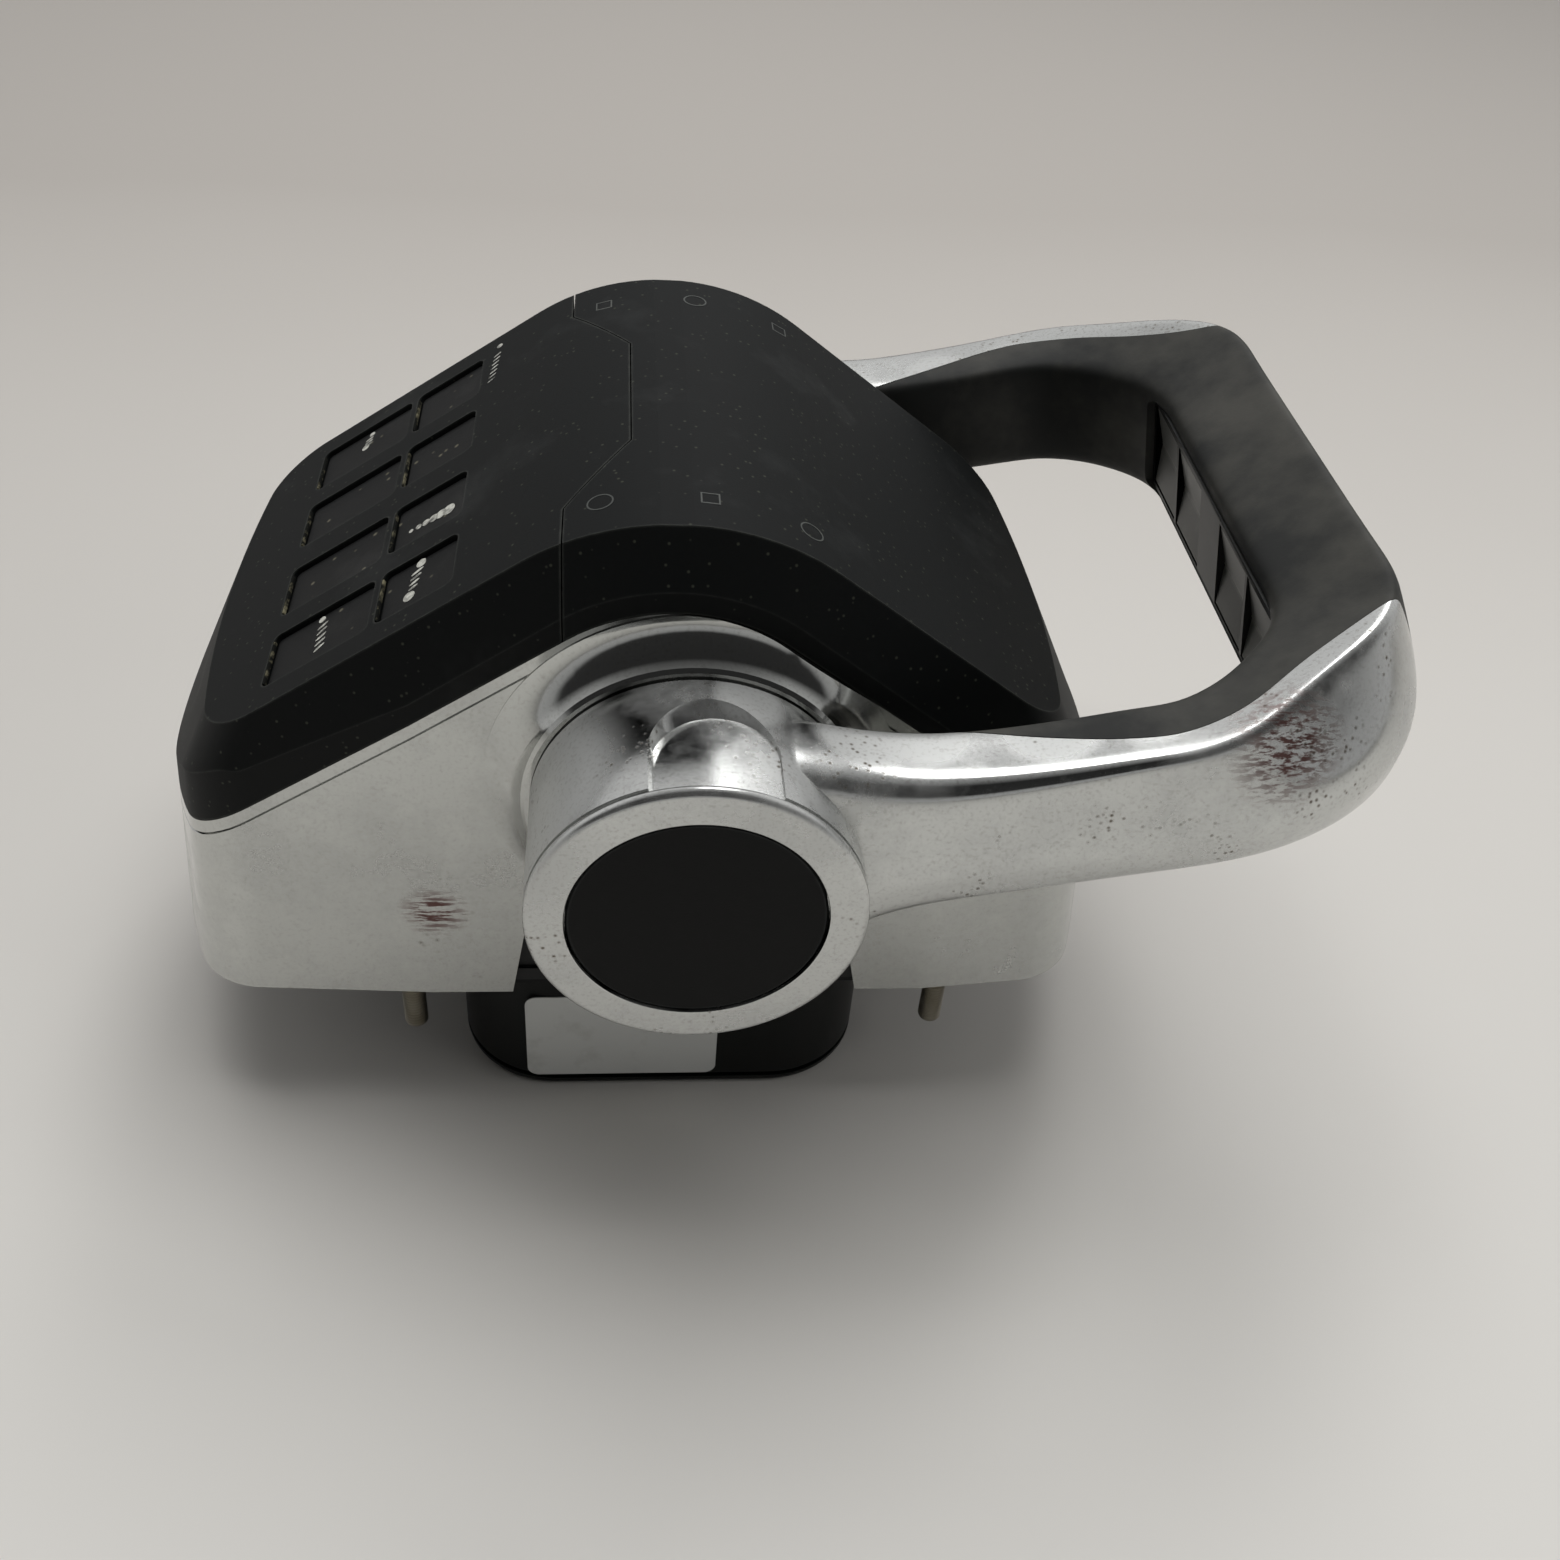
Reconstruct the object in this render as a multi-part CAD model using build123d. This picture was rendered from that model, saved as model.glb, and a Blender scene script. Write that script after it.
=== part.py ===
from build123d import *
import math
import os

# Boat throttle control: one bail lever over a domed console, built in millimetres.
# Model axes: +X towards the bow, +Y to port, +Z up, z = 0 at the dash surface.
# The origin is the centre of the four mounting studs on the dash, right under the hub axis.

# ---------------------------------------------------------------- console form
AXIS_Z = 67.0               # hub axis above the dash
GASKET_T = 1.5              # foam gasket between the dash and the console floor
NOSE_X = 128.0              # console nose ahead of the hub axis, at the dash
TAIL_X = 110.0              # console tail behind the hub axis, at the dash
SIDE_Y = 64.6               # half width at the dash
PLAN_STRAIGHT = 60.0        # half length of the parallel middle of the plan
NOSE_BOW = 15.5             # bow of the nose end of the plan
TAIL_BOW = 14.0             # bow of the tail end of the plan
NOSE_PINCH = 2.6            # how much each side closes in towards the nose
TAIL_PINCH = 3.6            # how much each side closes in towards the tail
PLAN_CORNER_R = 18.0        # plan corner radius
DRAFT_TOP_Z = 130.0         # height at which the drafted plan is given
NOSE_DRAFT = 11.5           # draft of the nose up to that height
TAIL_DRAFT = 13.0           # draft of the tail up to that height
SIDE_DRAFT = 1.2            # draft of the sides up to that height
CREST_Z = 130.1             # top of the hump
CREST_X = -4.4              # crest of the hump along the console
HUMP_R = 57.0               # radius of the hump, seen from the side
KEYPAD_SLOPE = 34.1         # slope of the keypad face, degrees
TAIL_SLOPE = 36.4           # slope of the rear face, degrees
CREASE_Y = 58.0             # half width of the top face, at its crease
BAND_DROP = 17.0            # height of the leaning side band under the crease
BAND_LEAN = 7.5             # how far the band leans out over that height
NOSE_RIM_X = 110.5          # nose rim of the top face
NOSE_FOOT_X = 124.6         # foot of the leaning band at the nose
TAIL_RIM_X = 89.0           # tail rim of the top face
TAIL_FOOT_X = 105.6         # foot of the leaning band at the tail
RIM_BOW = 7.0               # bow of the rim in the plane of the top face
RIM_CORNER_R = 17.0         # corner radius of the rim
PARTING_DROP = 17.6         # parting line of the chrome shells, under the top face
COVER_WALL = 3.0            # wall of the two moulded covers
SHELL_WALL = 2.5            # wall of the chrome side shells
PARTING_GAP = 0.15          # each side of every visible parting line
LIP_H = 2.7                 # bright lip along the top of the chrome shells
LIP_GROOVE_H = 0.5          # groove under the lip
LIP_GROOVE_DEPTH = 0.6
FIT_GAP = 0.3               # general clearance between loose pieces

# ---------------------------------------------------------------- cover seam
SEAM_EDGE_X = -27.5         # seam at the sides of the hump
SEAM_MID_X = -13.6          # seam across the middle of the hump
SEAM_EDGE_Y = 45.0          # where the seam leaves the side run
SEAM_MID_Y = 23.0           # where it reaches the middle run

# ---------------------------------------------------------------- keypad
KEY_ROWS_Y = (14.3, 41.0)   # key centres either side of the middle rib
KEY_WIDTH = 18.0
KEY_SPLIT = 36.0            # middle of the bar between lower and upper keys, along the slope
KEY_BAR = 2.8               # distance between lower and upper keys
KEY_START = 6.8             # first key edge along the slope
KEY_END = 57.0              # last key edge along the slope
KEY_GAP = 0.45              # clearance round each key
KEY_SLOPE_X = -98.0         # zero of the slope measurements
KEY_SINK = 1.0              # key tops lie this far under the face
KEY_HEIGHT = 4.2
KEY_SKIRT = 0.9             # retaining skirt round each key
KEY_SKIRT_T = 1.0
KEY_TRAVEL = 0.6
KEY_CORNER_R = 1.6
MAT_T = 1.6                 # silicone mat under the keys
DOME_R = 3.2                # dome under each key
DOME_H = 1.0
BOARD_T = 1.6               # thickness of every circuit board

# ---------------------------------------------------------------- shaft and hubs
SHAFT_R = 8.0
SHAFT_FIT = 0.05            # running clearance of the shaft in its bushes
FLAT_HALF = 6.5             # half distance over the driving flats of the shaft ends
FLAT_FIT = 0.1
HUB_R = 35.0
HUB_FRONT_Y = 106.5
HUB_ROOT_Y = 71.6
HUB_GAP = 0.6               # between the hub root and the collar of the shell
HUB_RIM_ROUND = 1.6
CAP_R = 26.6
CAP_T = 3.0
CAP_RECESS = 0.5            # cap face behind the hub face
CAP_FIT = 0.2
HUB_POCKET_R = 22.0
HUB_POCKET_DEPTH = 10.5
SADDLE_DEPTH = 4.0          # saddle recess on top of each hub
SADDLE_R = 12.6             # its half width and the round of its rear wall
SADDLE_X = 3.0
SADDLE_BACK_Y = 77.0        # top of its sloping rear wall
RING_WIDTH = 2.4            # ring left in front of the saddle
RING_GROOVE = 0.5           # groove behind the ring, wide and deep
WASHER_R = 12.0
WASHER_T = 2.0
SCREW_R = 4.0
SCREW_HEAD_R = 6.5
SCREW_HEAD_H = 5.0
HEX_SOCKET = 5.0

# ---------------------------------------------------------------- collar and bushes
COLLAR_R = 37.0             # collar of the side shell round the hub root
COLLAR_FOOT_R = 45.5        # where the collar cove meets the shell
COLLAR_BORE_R = 20.0
CHEEK_OUT_Y = 60.8          # outer face of the chassis cheeks
CHEEK_T = 5.0
CHEEK_HALF = 41.0           # half width of the cheek foot
CHEEK_R = 33.0              # cheek radius round the shaft
BUSH_R = 13.0
BUSH_FLANGE_R = 17.0
BUSH_FLANGE_T = 2.0
BOSS_R = 18.0
BOSS_DEPTH = 6.0
NOTCH_TOP_HALF = 34.0       # arch left open in the shell under the hub
NOTCH_FOOT_HALF = 41.5

# ---------------------------------------------------------------- chassis, box, mounting
FLOOR_T = 4.0
STUD_DX = 136.0             # stud pattern along the console
STUD_DY = 98.0              # stud pattern across it
STUD_R = 3.0
STUD_LENGTH = 28.0          # stud length below the dash
STUD_BOSS_R = 7.0
STUD_BOSS_H = 9.0
STUD_ROOT_R = 3.7           # moulded-in root of each stud
STUD_HOLE_R = 4.6           # holes of the gasket
STUD_FIT = 0.05
BOX_FRONT_X = 56.5
BOX_REAR_X = 49.0
BOX_Y = 60.0
BOX_DEPTH = 42.0
BOX_CORNER_R = 25.0
BOX_WALL = 3.0
BOX_FOOT_ROUND = 3.0
LID_T = 3.0
BOX_SCREW_R = 1.6
BOX_SCREW_HEAD_R = 3.0
POST_R = 5.0
SOCKET_W = 34.0
SOCKET_H = 16.0
SOCKET_DEPTH = 16.0
SOCKET_WALL = 2.0
LABEL_W = 49.0
LABEL_H = 30.0
LABEL_T = 0.3

# ---------------------------------------------------------------- lever bail, in the lever's frame
LEVER_ANGLE = 11.0          # arm direction above the dash at rest
ARM_IN_Y = 75.8             # inner face of the arms, at the bottom
ARM_LEAN = 0.8              # how far it leans in towards the top
ARM_OUT_Y = 97.4            # outer face of the arms, at the bottom
ARM_RIDGE_Y = 95.2          # top outer ridge of the arms
ARM_TOP = 15.6              # above and below the hub axis
ARM_BOTTOM = 16.4
BAR_IN_U = 132.0            # inner face of the cross grip
BAR_TOP_W = 23.2            # from there to the ridge of the cross grip
BAR_OUT_W = 30.5            # from there to the swell of its outer face
BAR_FOOT_W = 25.0           # from there to the outer edge of its underside
BAR_TOP = 26.0
BAR_IN_TOP = 16.0
CORNER_IN = 32.0            # pivot of the bail's corner, from the inner face of the grip
CORNER_SIDE = 31.8          # and from the inner face of the arms
BOW_U = 0.4                 # bow of the cross grip at its middle
CORE_SEAT = 0.2             # core behind the back of the rocker bezel
CORE_V = 2.0
CORE_W = 8.0
CORE_H = 17.0
CORE_END = 23.4             # core end short of the arms' outer face
CORE_FIT = 0.1

# ---------------------------------------------------------------- rockers in the cross grip
ROCKER_W = 20.0
ROCKER_H = 22.0
ROCKER_INNER_Y = 8.6        # inner edge of the inner rockers
ROCKER_SLIT = 2.6           # bezel bar between two rockers of a pair
ROCKER_GAP = 0.6
ROCKER_DISH = 1.6           # how deep the two facets meet
ROCKER_T = 5.0
ROCKER_V = -1.0
BEZEL_FRAME = 2.2
BEZEL_DEPTH = 8.0
BEZEL_FIT = 0.1
BEZEL_SINK = 0.4
PIN_R = 1.2
PIN_FIT = 0.05

# ---------------------------------------------------------------- inner working pieces
DETENT_R = 26.0
DETENT_T = 7.0
DETENT_Y = 24.0
DETENT_NOTCH_R = 4.0
PLUNGER_R = 5.0
PLUNGER_GAP = 0.4
BRAKE_R = 24.0
BRAKE_T = 5.0
BRAKE_Y = -22.0
PAD_T = 5.0
PAD_GAP = 0.3
MAGNET_R = 14.0
MAGNET_T = 8.0
SENSOR_GAP = 0.8
SENSOR_CHIP_T = 1.1
PEDESTAL_W = 18.0
MAIN_BOARD_Z = -16.0

LEVER_PLANE = Plane(
    origin=(0, 0, AXIS_Z),
    x_dir=(math.cos(math.radians(LEVER_ANGLE)), 0, math.sin(math.radians(LEVER_ANGLE))),
    z_dir=(-math.sin(math.radians(LEVER_ANGLE)), 0, math.cos(math.radians(LEVER_ANGLE))),
)


# ================================================================ helpers
def solid_of(shape):
    """Return a single solid or compound from any boolean result."""
    solids = list(shape.solids())
    return solids[0] if len(solids) == 1 else Compound(solids)


def cyl_y(radius, y0, y1, x=0.0, z=AXIS_Z):
    """Cylinder along Y between y0 and y1."""
    length = abs(y1 - y0)
    return Pos(x, (y0 + y1) / 2, z) * Rot(90, 0, 0) * Cylinder(radius, length)


def box_between(x0, x1, y0, y1, z0, z1):
    """Box between two corners."""
    return Pos((x0 + x1) / 2, (y0 + y1) / 2, (z0 + z1) / 2) * Box(abs(x1 - x0), abs(y1 - y0), abs(z1 - z0))


def xz_prism(points, y0, y1):
    """Prism of an XZ outline between y0 and y1."""
    with BuildSketch(Plane.XZ.offset(-y0)) as sk:
        with BuildLine():
            Polyline(*points, close=True)
        make_face()
    return extrude(sk.sketch, amount=-(y1 - y0))


def mirrored(shape):
    """The same piece on the other side of the console."""
    return mirror(shape, about=Plane.XZ)


# ================================================================ console form
def slope_lines(drop):
    """Apex, nose-end and tail-end points of the two slopes, sunk square to themselves by drop."""
    a = math.radians(KEYPAD_SLOPE)
    b = math.radians(TAIL_SLOPE)
    centre = (CREST_X + HUMP_R * 0.0, CREST_Z - HUMP_R)
    r = HUMP_R - drop
    front = (centre[0] - r * math.sin(a), centre[1] + r * math.cos(a))
    rear = (centre[0] + r * math.sin(b), centre[1] + r * math.cos(b))
    return centre, front, rear, a, b


def top_height(x, drop=0.0):
    """Height of the slopes at x (straight parts only)."""
    centre, front, rear, a, b = slope_lines(drop)
    if x < front[0]:
        return front[1] + (x - front[0]) * math.tan(a)
    return rear[1] - (x - rear[0]) * math.tan(b)


def side_profile(y, drop, low=-1.0):
    """Closed side outline under the top line, on the plane at y."""
    centre, front, rear, a, b = slope_lines(drop)
    x0 = -NOSE_X - 12
    x1 = TAIL_X + 12
    with BuildSketch(Plane.XZ.offset(-y)) as sk:
        with BuildLine():
            Line((x0, low), (x0, top_height(x0, drop)))
            Line((x0, top_height(x0, drop)), front)
            ThreePointArc(front, (centre[0], centre[1] + HUMP_R - drop), rear)
            Line(rear, (x1, top_height(x1, drop)))
            Line((x1, top_height(x1, drop)), (x1, low))
            Line((x1, low), (x0, low))
        make_face()
    return sk.sketch


def plan_face(z, inset, nose, side, tail):
    """Console plan at one height."""
    n = nose - inset
    s = side - inset
    t = tail - inset
    nx = -(n - NOSE_BOW)
    tx = t - TAIL_BOW
    with BuildSketch(Plane.XY.offset(z)) as sk:
        with BuildLine():
            ThreePointArc((nx, -(s - NOSE_PINCH)), (-n, 0), (nx, s - NOSE_PINCH))
            Line((nx, s - NOSE_PINCH), (-PLAN_STRAIGHT, s))
            Line((-PLAN_STRAIGHT, s), (PLAN_STRAIGHT, s))
            Line((PLAN_STRAIGHT, s), (tx, s - TAIL_PINCH))
            ThreePointArc((tx, s - TAIL_PINCH), (t, 0), (tx, -(s - TAIL_PINCH)))
            Line((tx, -(s - TAIL_PINCH)), (PLAN_STRAIGHT, -s))
            Line((PLAN_STRAIGHT, -s), (-PLAN_STRAIGHT, -s))
            Line((-PLAN_STRAIGHT, -s), (nx, -(s - NOSE_PINCH)))
        make_face()
        ends = [v for v in sk.vertices() if abs(v.X) > PLAN_STRAIGHT + 1]
        fillet(ends, radius=PLAN_CORNER_R - inset)
    return sk.sketch


def rim_face(plane, tip, half, far):
    """Outline of the top face at one end, drawn in the plane of the slope."""
    with BuildSketch(plane) as sk:
        with BuildLine():
            Line((-far, -half), (tip - RIM_BOW, -half))
            ThreePointArc((tip - RIM_BOW, -half), (tip, 0), (tip - RIM_BOW, half))
            Line((tip - RIM_BOW, half), (-far, half))
            Line((-far, half), (-far, -half))
        make_face()
        fillet([v for v in sk.vertices() if v.X > 0], radius=RIM_CORNER_R)
    return sk.sketch


def end_cutter(sign, inset):
    """What the leaning band takes off one end of the console; sign -1 nose, +1 tail."""
    angle = math.radians(KEYPAD_SLOPE if sign < 0 else TAIL_SLOPE)
    tip_x = (NOSE_RIM_X if sign < 0 else TAIL_RIM_X) - inset
    foot_x = (NOSE_FOOT_X if sign < 0 else TAIL_FOOT_X) - inset
    x0 = sign * 60.0
    z0 = top_height(x0, inset)
    drop = BAND_DROP
    along = Vector(sign * math.cos(angle), 0, -math.sin(angle))
    normal = Vector(sign * math.sin(angle), 0, math.cos(angle))
    if sign < 0:
        top = Plane(origin=(x0, 0, z0), x_dir=along, z_dir=normal)
        low = Plane(origin=Vector(x0, 0, z0) - normal * drop, x_dir=along, z_dir=normal)
    else:
        top = Plane(origin=(x0, 0, z0), x_dir=along, z_dir=normal)
        low = Plane(origin=Vector(x0, 0, z0) - normal * drop, x_dir=along, z_dir=normal)
    tip = (tip_x - abs(x0)) / math.cos(angle)
    foot = (foot_x - abs(low.origin.X)) / math.cos(angle)
    half = CREASE_Y - inset
    kept = loft([rim_face(top, tip, half, 1.0).face(), rim_face(low, foot, half + BAND_LEAN, 1.0).face()], ruled=True)
    reach = foot + 30
    block = low * Pos(reach / 2, 0, drop / 2 + 8) * Box(reach, 2 * half + 40, drop + 16)
    # the block starts just inside the kept outline so that no skin is left along the joint
    sides = low * Pos(-5, 0, drop / 2) * Box(10, 400, drop * 3)
    return (block - kept) - sides


def console_form(inset=0.0):
    """Outer form of the whole console, or the same form sunk inwards by inset."""
    low = plan_face(0, inset, NOSE_X, SIDE_Y, TAIL_X)
    high = plan_face(
        DRAFT_TOP_Z, inset, NOSE_X - NOSE_DRAFT, SIDE_Y - SIDE_DRAFT, TAIL_X - TAIL_DRAFT)
    body = loft([low.face(), high.face()], ruled=True)
    half = CREASE_Y - inset
    roof = extrude(side_profile(-half, inset), amount=-2 * half)
    for sign in (-1, 1):
        crease = side_profile(sign * half, inset)
        foot = side_profile(sign * (half + BAND_LEAN), inset + BAND_DROP)
        roof += loft([crease.face(), foot.face()], ruled=True)
    form = body & roof
    form -= end_cutter(-1, inset)
    form -= end_cutter(1, inset)
    return form


def under_parting(extra=0.0):
    """Everything below the parting line of the chrome shells."""
    return extrude(side_profile(-100, PARTING_DROP + extra, low=-20), amount=-200)


def seam_region(gap):
    """Everything on the nose side of the cover seam, less gap."""
    edge = SEAM_EDGE_X - gap
    mid = SEAM_MID_X - gap
    with BuildSketch(Plane.XY) as sk:
        with BuildLine():
            Polyline(
                (-200, -100), (edge, -100), (edge, -SEAM_EDGE_Y), (mid, -SEAM_MID_Y),
                (mid, SEAM_MID_Y), (edge, SEAM_EDGE_Y), (edge, 100), (-200, 100), close=True)
        make_face()
    return extrude(sk.sketch, amount=200)


# ================================================================ keypad
def keypad_plane():
    """Plane of the keypad face, X up the slope and Z out of the face."""
    a = math.radians(KEYPAD_SLOPE)
    return Plane(
        origin=(KEY_SLOPE_X, 0, top_height(KEY_SLOPE_X)),
        x_dir=(math.cos(a), 0, math.sin(a)),
        z_dir=(-math.sin(a), 0, math.cos(a)))


def key_places():
    """Name, centre and length of each key, in keypad coordinates."""
    places = []
    spans = ((KEY_START, KEY_SPLIT - KEY_BAR / 2), (KEY_SPLIT + KEY_BAR / 2, KEY_END))
    number = 1
    for span in spans:
        for y in (-KEY_ROWS_Y[1], -KEY_ROWS_Y[0], KEY_ROWS_Y[0], KEY_ROWS_Y[1]):
            places.append((f"key_{number}", sum(span) / 2, y, span[1] - span[0]))
            number += 1
    return places


def key_cap(centre, y, length):
    """One key: a shallow dished cap over a retaining skirt."""
    plane = keypad_plane()
    top = Pos(centre, y, -KEY_SINK - KEY_HEIGHT / 2) * Box(length, KEY_WIDTH, KEY_HEIGHT)
    top = fillet(top.edges().filter_by(Axis.Z), radius=KEY_CORNER_R)
    top = chamfer(top.faces().sort_by(Axis.Z)[-1].edges(), length=0.4)
    skirt = Pos(centre, y, -KEY_SINK - KEY_HEIGHT + KEY_SKIRT_T / 2) * Box(
        length + 2 * KEY_SKIRT, KEY_WIDTH + 2 * KEY_SKIRT, KEY_SKIRT_T)
    return plane * (top + skirt)


def key_openings():
    """Openings of the keypad cover, one per key, with relief for the skirts."""
    plane = keypad_plane()
    cuts = []
    for _, centre, y, length in key_places():
        hole = Pos(centre, y, -6) * Box(length + 2 * KEY_GAP, KEY_WIDTH + 2 * KEY_GAP, 16)
        hole = fillet(hole.edges().filter_by(Axis.Z), radius=KEY_CORNER_R + KEY_GAP)
        cuts.append(plane * hole)
    return cuts


def keypad_floor_drop():
    """Depth of the key undersides below the keypad face."""
    return KEY_SINK + KEY_HEIGHT


def keypad_cover(shell, parting):
    """Sloping front cover with the eight key openings."""
    cover = (shell - parting) & seam_region(PARTING_GAP)
    for cut in key_openings():
        cover -= cut
    return cover


def hump_cover(shell, parting):
    """Domed rear cover behind the trapezoidal seam."""
    return (shell - parting) - seam_region(-PARTING_GAP)


def keypad_mat():
    """Silicone mat with a dome under each key."""
    plane = keypad_plane()
    depth = keypad_floor_drop() + KEY_TRAVEL + FIT_GAP + DOME_H
    x0 = KEY_START - 4
    x1 = KEY_END + 4
    width = 2 * (KEY_ROWS_Y[1] + KEY_WIDTH / 2 + 3)
    mat = Pos((x0 + x1) / 2, 0, -depth - MAT_T / 2) * Box(x1 - x0, width, MAT_T)
    for _, centre, y, _ in key_places():
        mat += Pos(centre, y, -depth + DOME_H / 2 - 0.01) * Cylinder(DOME_R, DOME_H + 0.02)
    return plane * mat


def keypad_board():
    """Circuit board that carries the mat, on four posts of the chassis."""
    plane = keypad_plane()
    depth = keypad_floor_drop() + KEY_TRAVEL + FIT_GAP + DOME_H + MAT_T
    x0 = KEY_START - 4
    x1 = KEY_END + 4
    width = 2 * (KEY_ROWS_Y[1] + KEY_WIDTH / 2 + 3)
    return plane * (Pos((x0 + x1) / 2, 0, -depth - BOARD_T / 2) * Box(x1 - x0, width, BOARD_T))


# ================================================================ chrome side shells
def collar():
    """Coved collar that rises from the side shell to the hub root, about +Y of the near side."""
    root = HUB_ROOT_Y - HUB_GAP
    foot = SIDE_Y - SIDE_DRAFT * AXIS_Z / DRAFT_TOP_Z
    bottom = foot - SHELL_WALL
    with BuildSketch(Plane.XY) as sk:
        with BuildLine():
            Line((COLLAR_BORE_R, bottom), (COLLAR_FOOT_R, bottom))
            Line((COLLAR_FOOT_R, bottom), (COLLAR_FOOT_R, foot))
            RadiusArc((COLLAR_FOOT_R, foot), (COLLAR_R, root - 0.8), 10)
            Line((COLLAR_R, root - 0.8), (COLLAR_R - 0.8, root))
            Line((COLLAR_R - 0.8, root), (COLLAR_BORE_R, root))
            Line((COLLAR_BORE_R, root), (COLLAR_BORE_R, bottom))
        make_face()
    ring = revolve(sk.sketch, axis=Axis.Y)
    return Pos(0, 0, AXIS_Z) * mirror(ring, about=Plane.XZ)


def lip_groove(form):
    """Shallow groove that follows the parting line a little below it."""
    skin = form - console_form(LIP_GROOVE_DEPTH)
    return skin & (under_parting(LIP_H) - under_parting(LIP_H + LIP_GROOVE_H))


def side_shell(form, inner, parting):
    """Chrome side shell of the near side, with its collar and the arch under the hub."""
    half_space = box_between(-200, 200, -200, -PARTING_GAP, GASKET_T - 1.2, 200)
    shell = ((form - inner) & parting) & half_space
    shell -= lip_groove(form)
    shell += collar() & parting
    shell -= cyl_y(COLLAR_BORE_R, -200, -40)
    arch = xz_prism(
        [(-NOTCH_FOOT_HALF, -1), (NOTCH_FOOT_HALF + 2, -1), (NOTCH_TOP_HALF, AXIS_Z - HUB_R / 2 - 6),
         (-NOTCH_TOP_HALF, AXIS_Z - HUB_R / 2 - 6)], -200, 0)
    arch -= cyl_y(COLLAR_FOOT_R - 4, -200, 0)
    return solid_of(shell - arch)


# ================================================================ chassis and lower box
def floor_z():
    return GASKET_T + FLOOR_T


def stud_points():
    return [(sx * STUD_DX / 2, sy * STUD_DY / 2) for sx in (-1, 1) for sy in (-1, 1)]


def chassis():
    """Moulded frame: floor, two cheeks with bush bosses, ribs, stud bosses and board posts."""
    inset = SHELL_WALL + FIT_GAP
    rise = floor_z() / DRAFT_TOP_Z
    plan = plan_face(
        GASKET_T, inset, NOSE_X - NOSE_DRAFT * rise, SIDE_Y - SIDE_DRAFT * rise, TAIL_X - TAIL_DRAFT * rise)
    frame = extrude(plan, amount=FLOOR_T)
    frame -= extrude(box_outline(BOX_WALL + 4), amount=20) + extrude(box_outline(BOX_WALL + 4), amount=-20)
    for sign in (-1, 1):
        y_out = sign * CHEEK_OUT_Y
        y_in = sign * (CHEEK_OUT_Y - CHEEK_T)
        lo = min(y_out, y_in)
        hi = max(y_out, y_in)
        cheek = xz_prism(
            [(-CHEEK_HALF, GASKET_T), (CHEEK_HALF, GASKET_T), (CHEEK_R, AXIS_Z), (-CHEEK_R, AXIS_Z)], lo, hi)
        cheek += cyl_y(CHEEK_R, lo, hi)
        frame += cheek
        frame += cyl_y(BOSS_R, y_in, y_in - sign * BOSS_DEPTH)
        for sx in (-1, 1):
            rib_x = sx * (CHEEK_HALF - 6)
            rib = xz_prism([(rib_x - 1.5, GASKET_T), (rib_x + 1.5, GASKET_T),
                            (sx * (CHEEK_R - 6) + 1.5, AXIS_Z), (sx * (CHEEK_R - 6) - 1.5, AXIS_Z)],
                           min(y_in, y_in - sign * 7), max(y_in, y_in - sign * 7))
            frame += rib
    for x, y in stud_points():
        frame += Pos(x, y, floor_z() + STUD_BOSS_H / 2) * Cylinder(STUD_BOSS_R, STUD_BOSS_H)
    frame += pedestals()
    frame += board_posts()
    for sign in (-1, 1):
        frame -= cyl_y(BUSH_R, sign * 30, sign * 100)
    for x, y in stud_points():
        frame -= Pos(x, y, 0) * Cylinder(STUD_ROOT_R + STUD_FIT, 2 * (floor_z() + STUD_BOSS_H - 1))
    return solid_of(frame)


def pedestals():
    """Bridge across the box opening with the blocks for the detent, brake and sensor."""
    half = PEDESTAL_W / 2
    bridge = box_between(-half, half, -CHEEK_OUT_Y, CHEEK_OUT_Y, GASKET_T, floor_z() + 4)
    top = AXIS_Z - DETENT_R - PLUNGER_GAP - 8
    block = box_between(-half, half, DETENT_Y - 9, DETENT_Y + 9, GASKET_T, top)
    block -= Pos(0, DETENT_Y, top) * Cylinder(PLUNGER_R + FIT_GAP / 2, 2 * 22)
    pad_y = BRAKE_Y - BRAKE_T / 2 - PAD_GAP - PAD_T
    brake = box_between(-half, half, pad_y - 8, pad_y, GASKET_T, AXIS_Z - SHAFT_R - 4)
    sensor = box_between(-half, half, -5, 5, GASKET_T, sensor_seat_z())
    return bridge + block + brake + sensor


def sensor_seat_z():
    """Underside of the angle sensor board."""
    return AXIS_Z - MAGNET_R - SENSOR_GAP - SENSOR_CHIP_T - BOARD_T


def board_posts():
    """Four sloping-topped posts under the keypad board."""
    plane = keypad_plane()
    depth = keypad_floor_drop() + KEY_TRAVEL + FIT_GAP + DOME_H + MAT_T + BOARD_T
    posts = None
    for s in (KEY_START, KEY_END - 4):
        for y in (-KEY_ROWS_Y[1], KEY_ROWS_Y[1]):
            foot = plane.from_local_coords((s, y, -depth))
            post = Pos(foot.X, foot.Y, (foot.Z + 10) / 2) * Cylinder(POST_R, foot.Z + 10)
            post &= box_between(-200, 200, -100, 100, GASKET_T, 200)
            post -= plane * (Pos(s, y, -depth + 20) * Box(60, 40, 40))
            posts = post if posts is None else posts + post
    return posts


def box_outline(inset):
    """Plan of the lower box."""
    x0 = -BOX_FRONT_X + inset
    x1 = BOX_REAR_X - inset
    with BuildSketch(Plane.XY) as sk:
        with Locations(((x0 + x1) / 2, 0)):
            RectangleRounded(x1 - x0, 2 * (BOX_Y - inset), BOX_CORNER_R - inset)
    return sk.sketch


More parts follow.
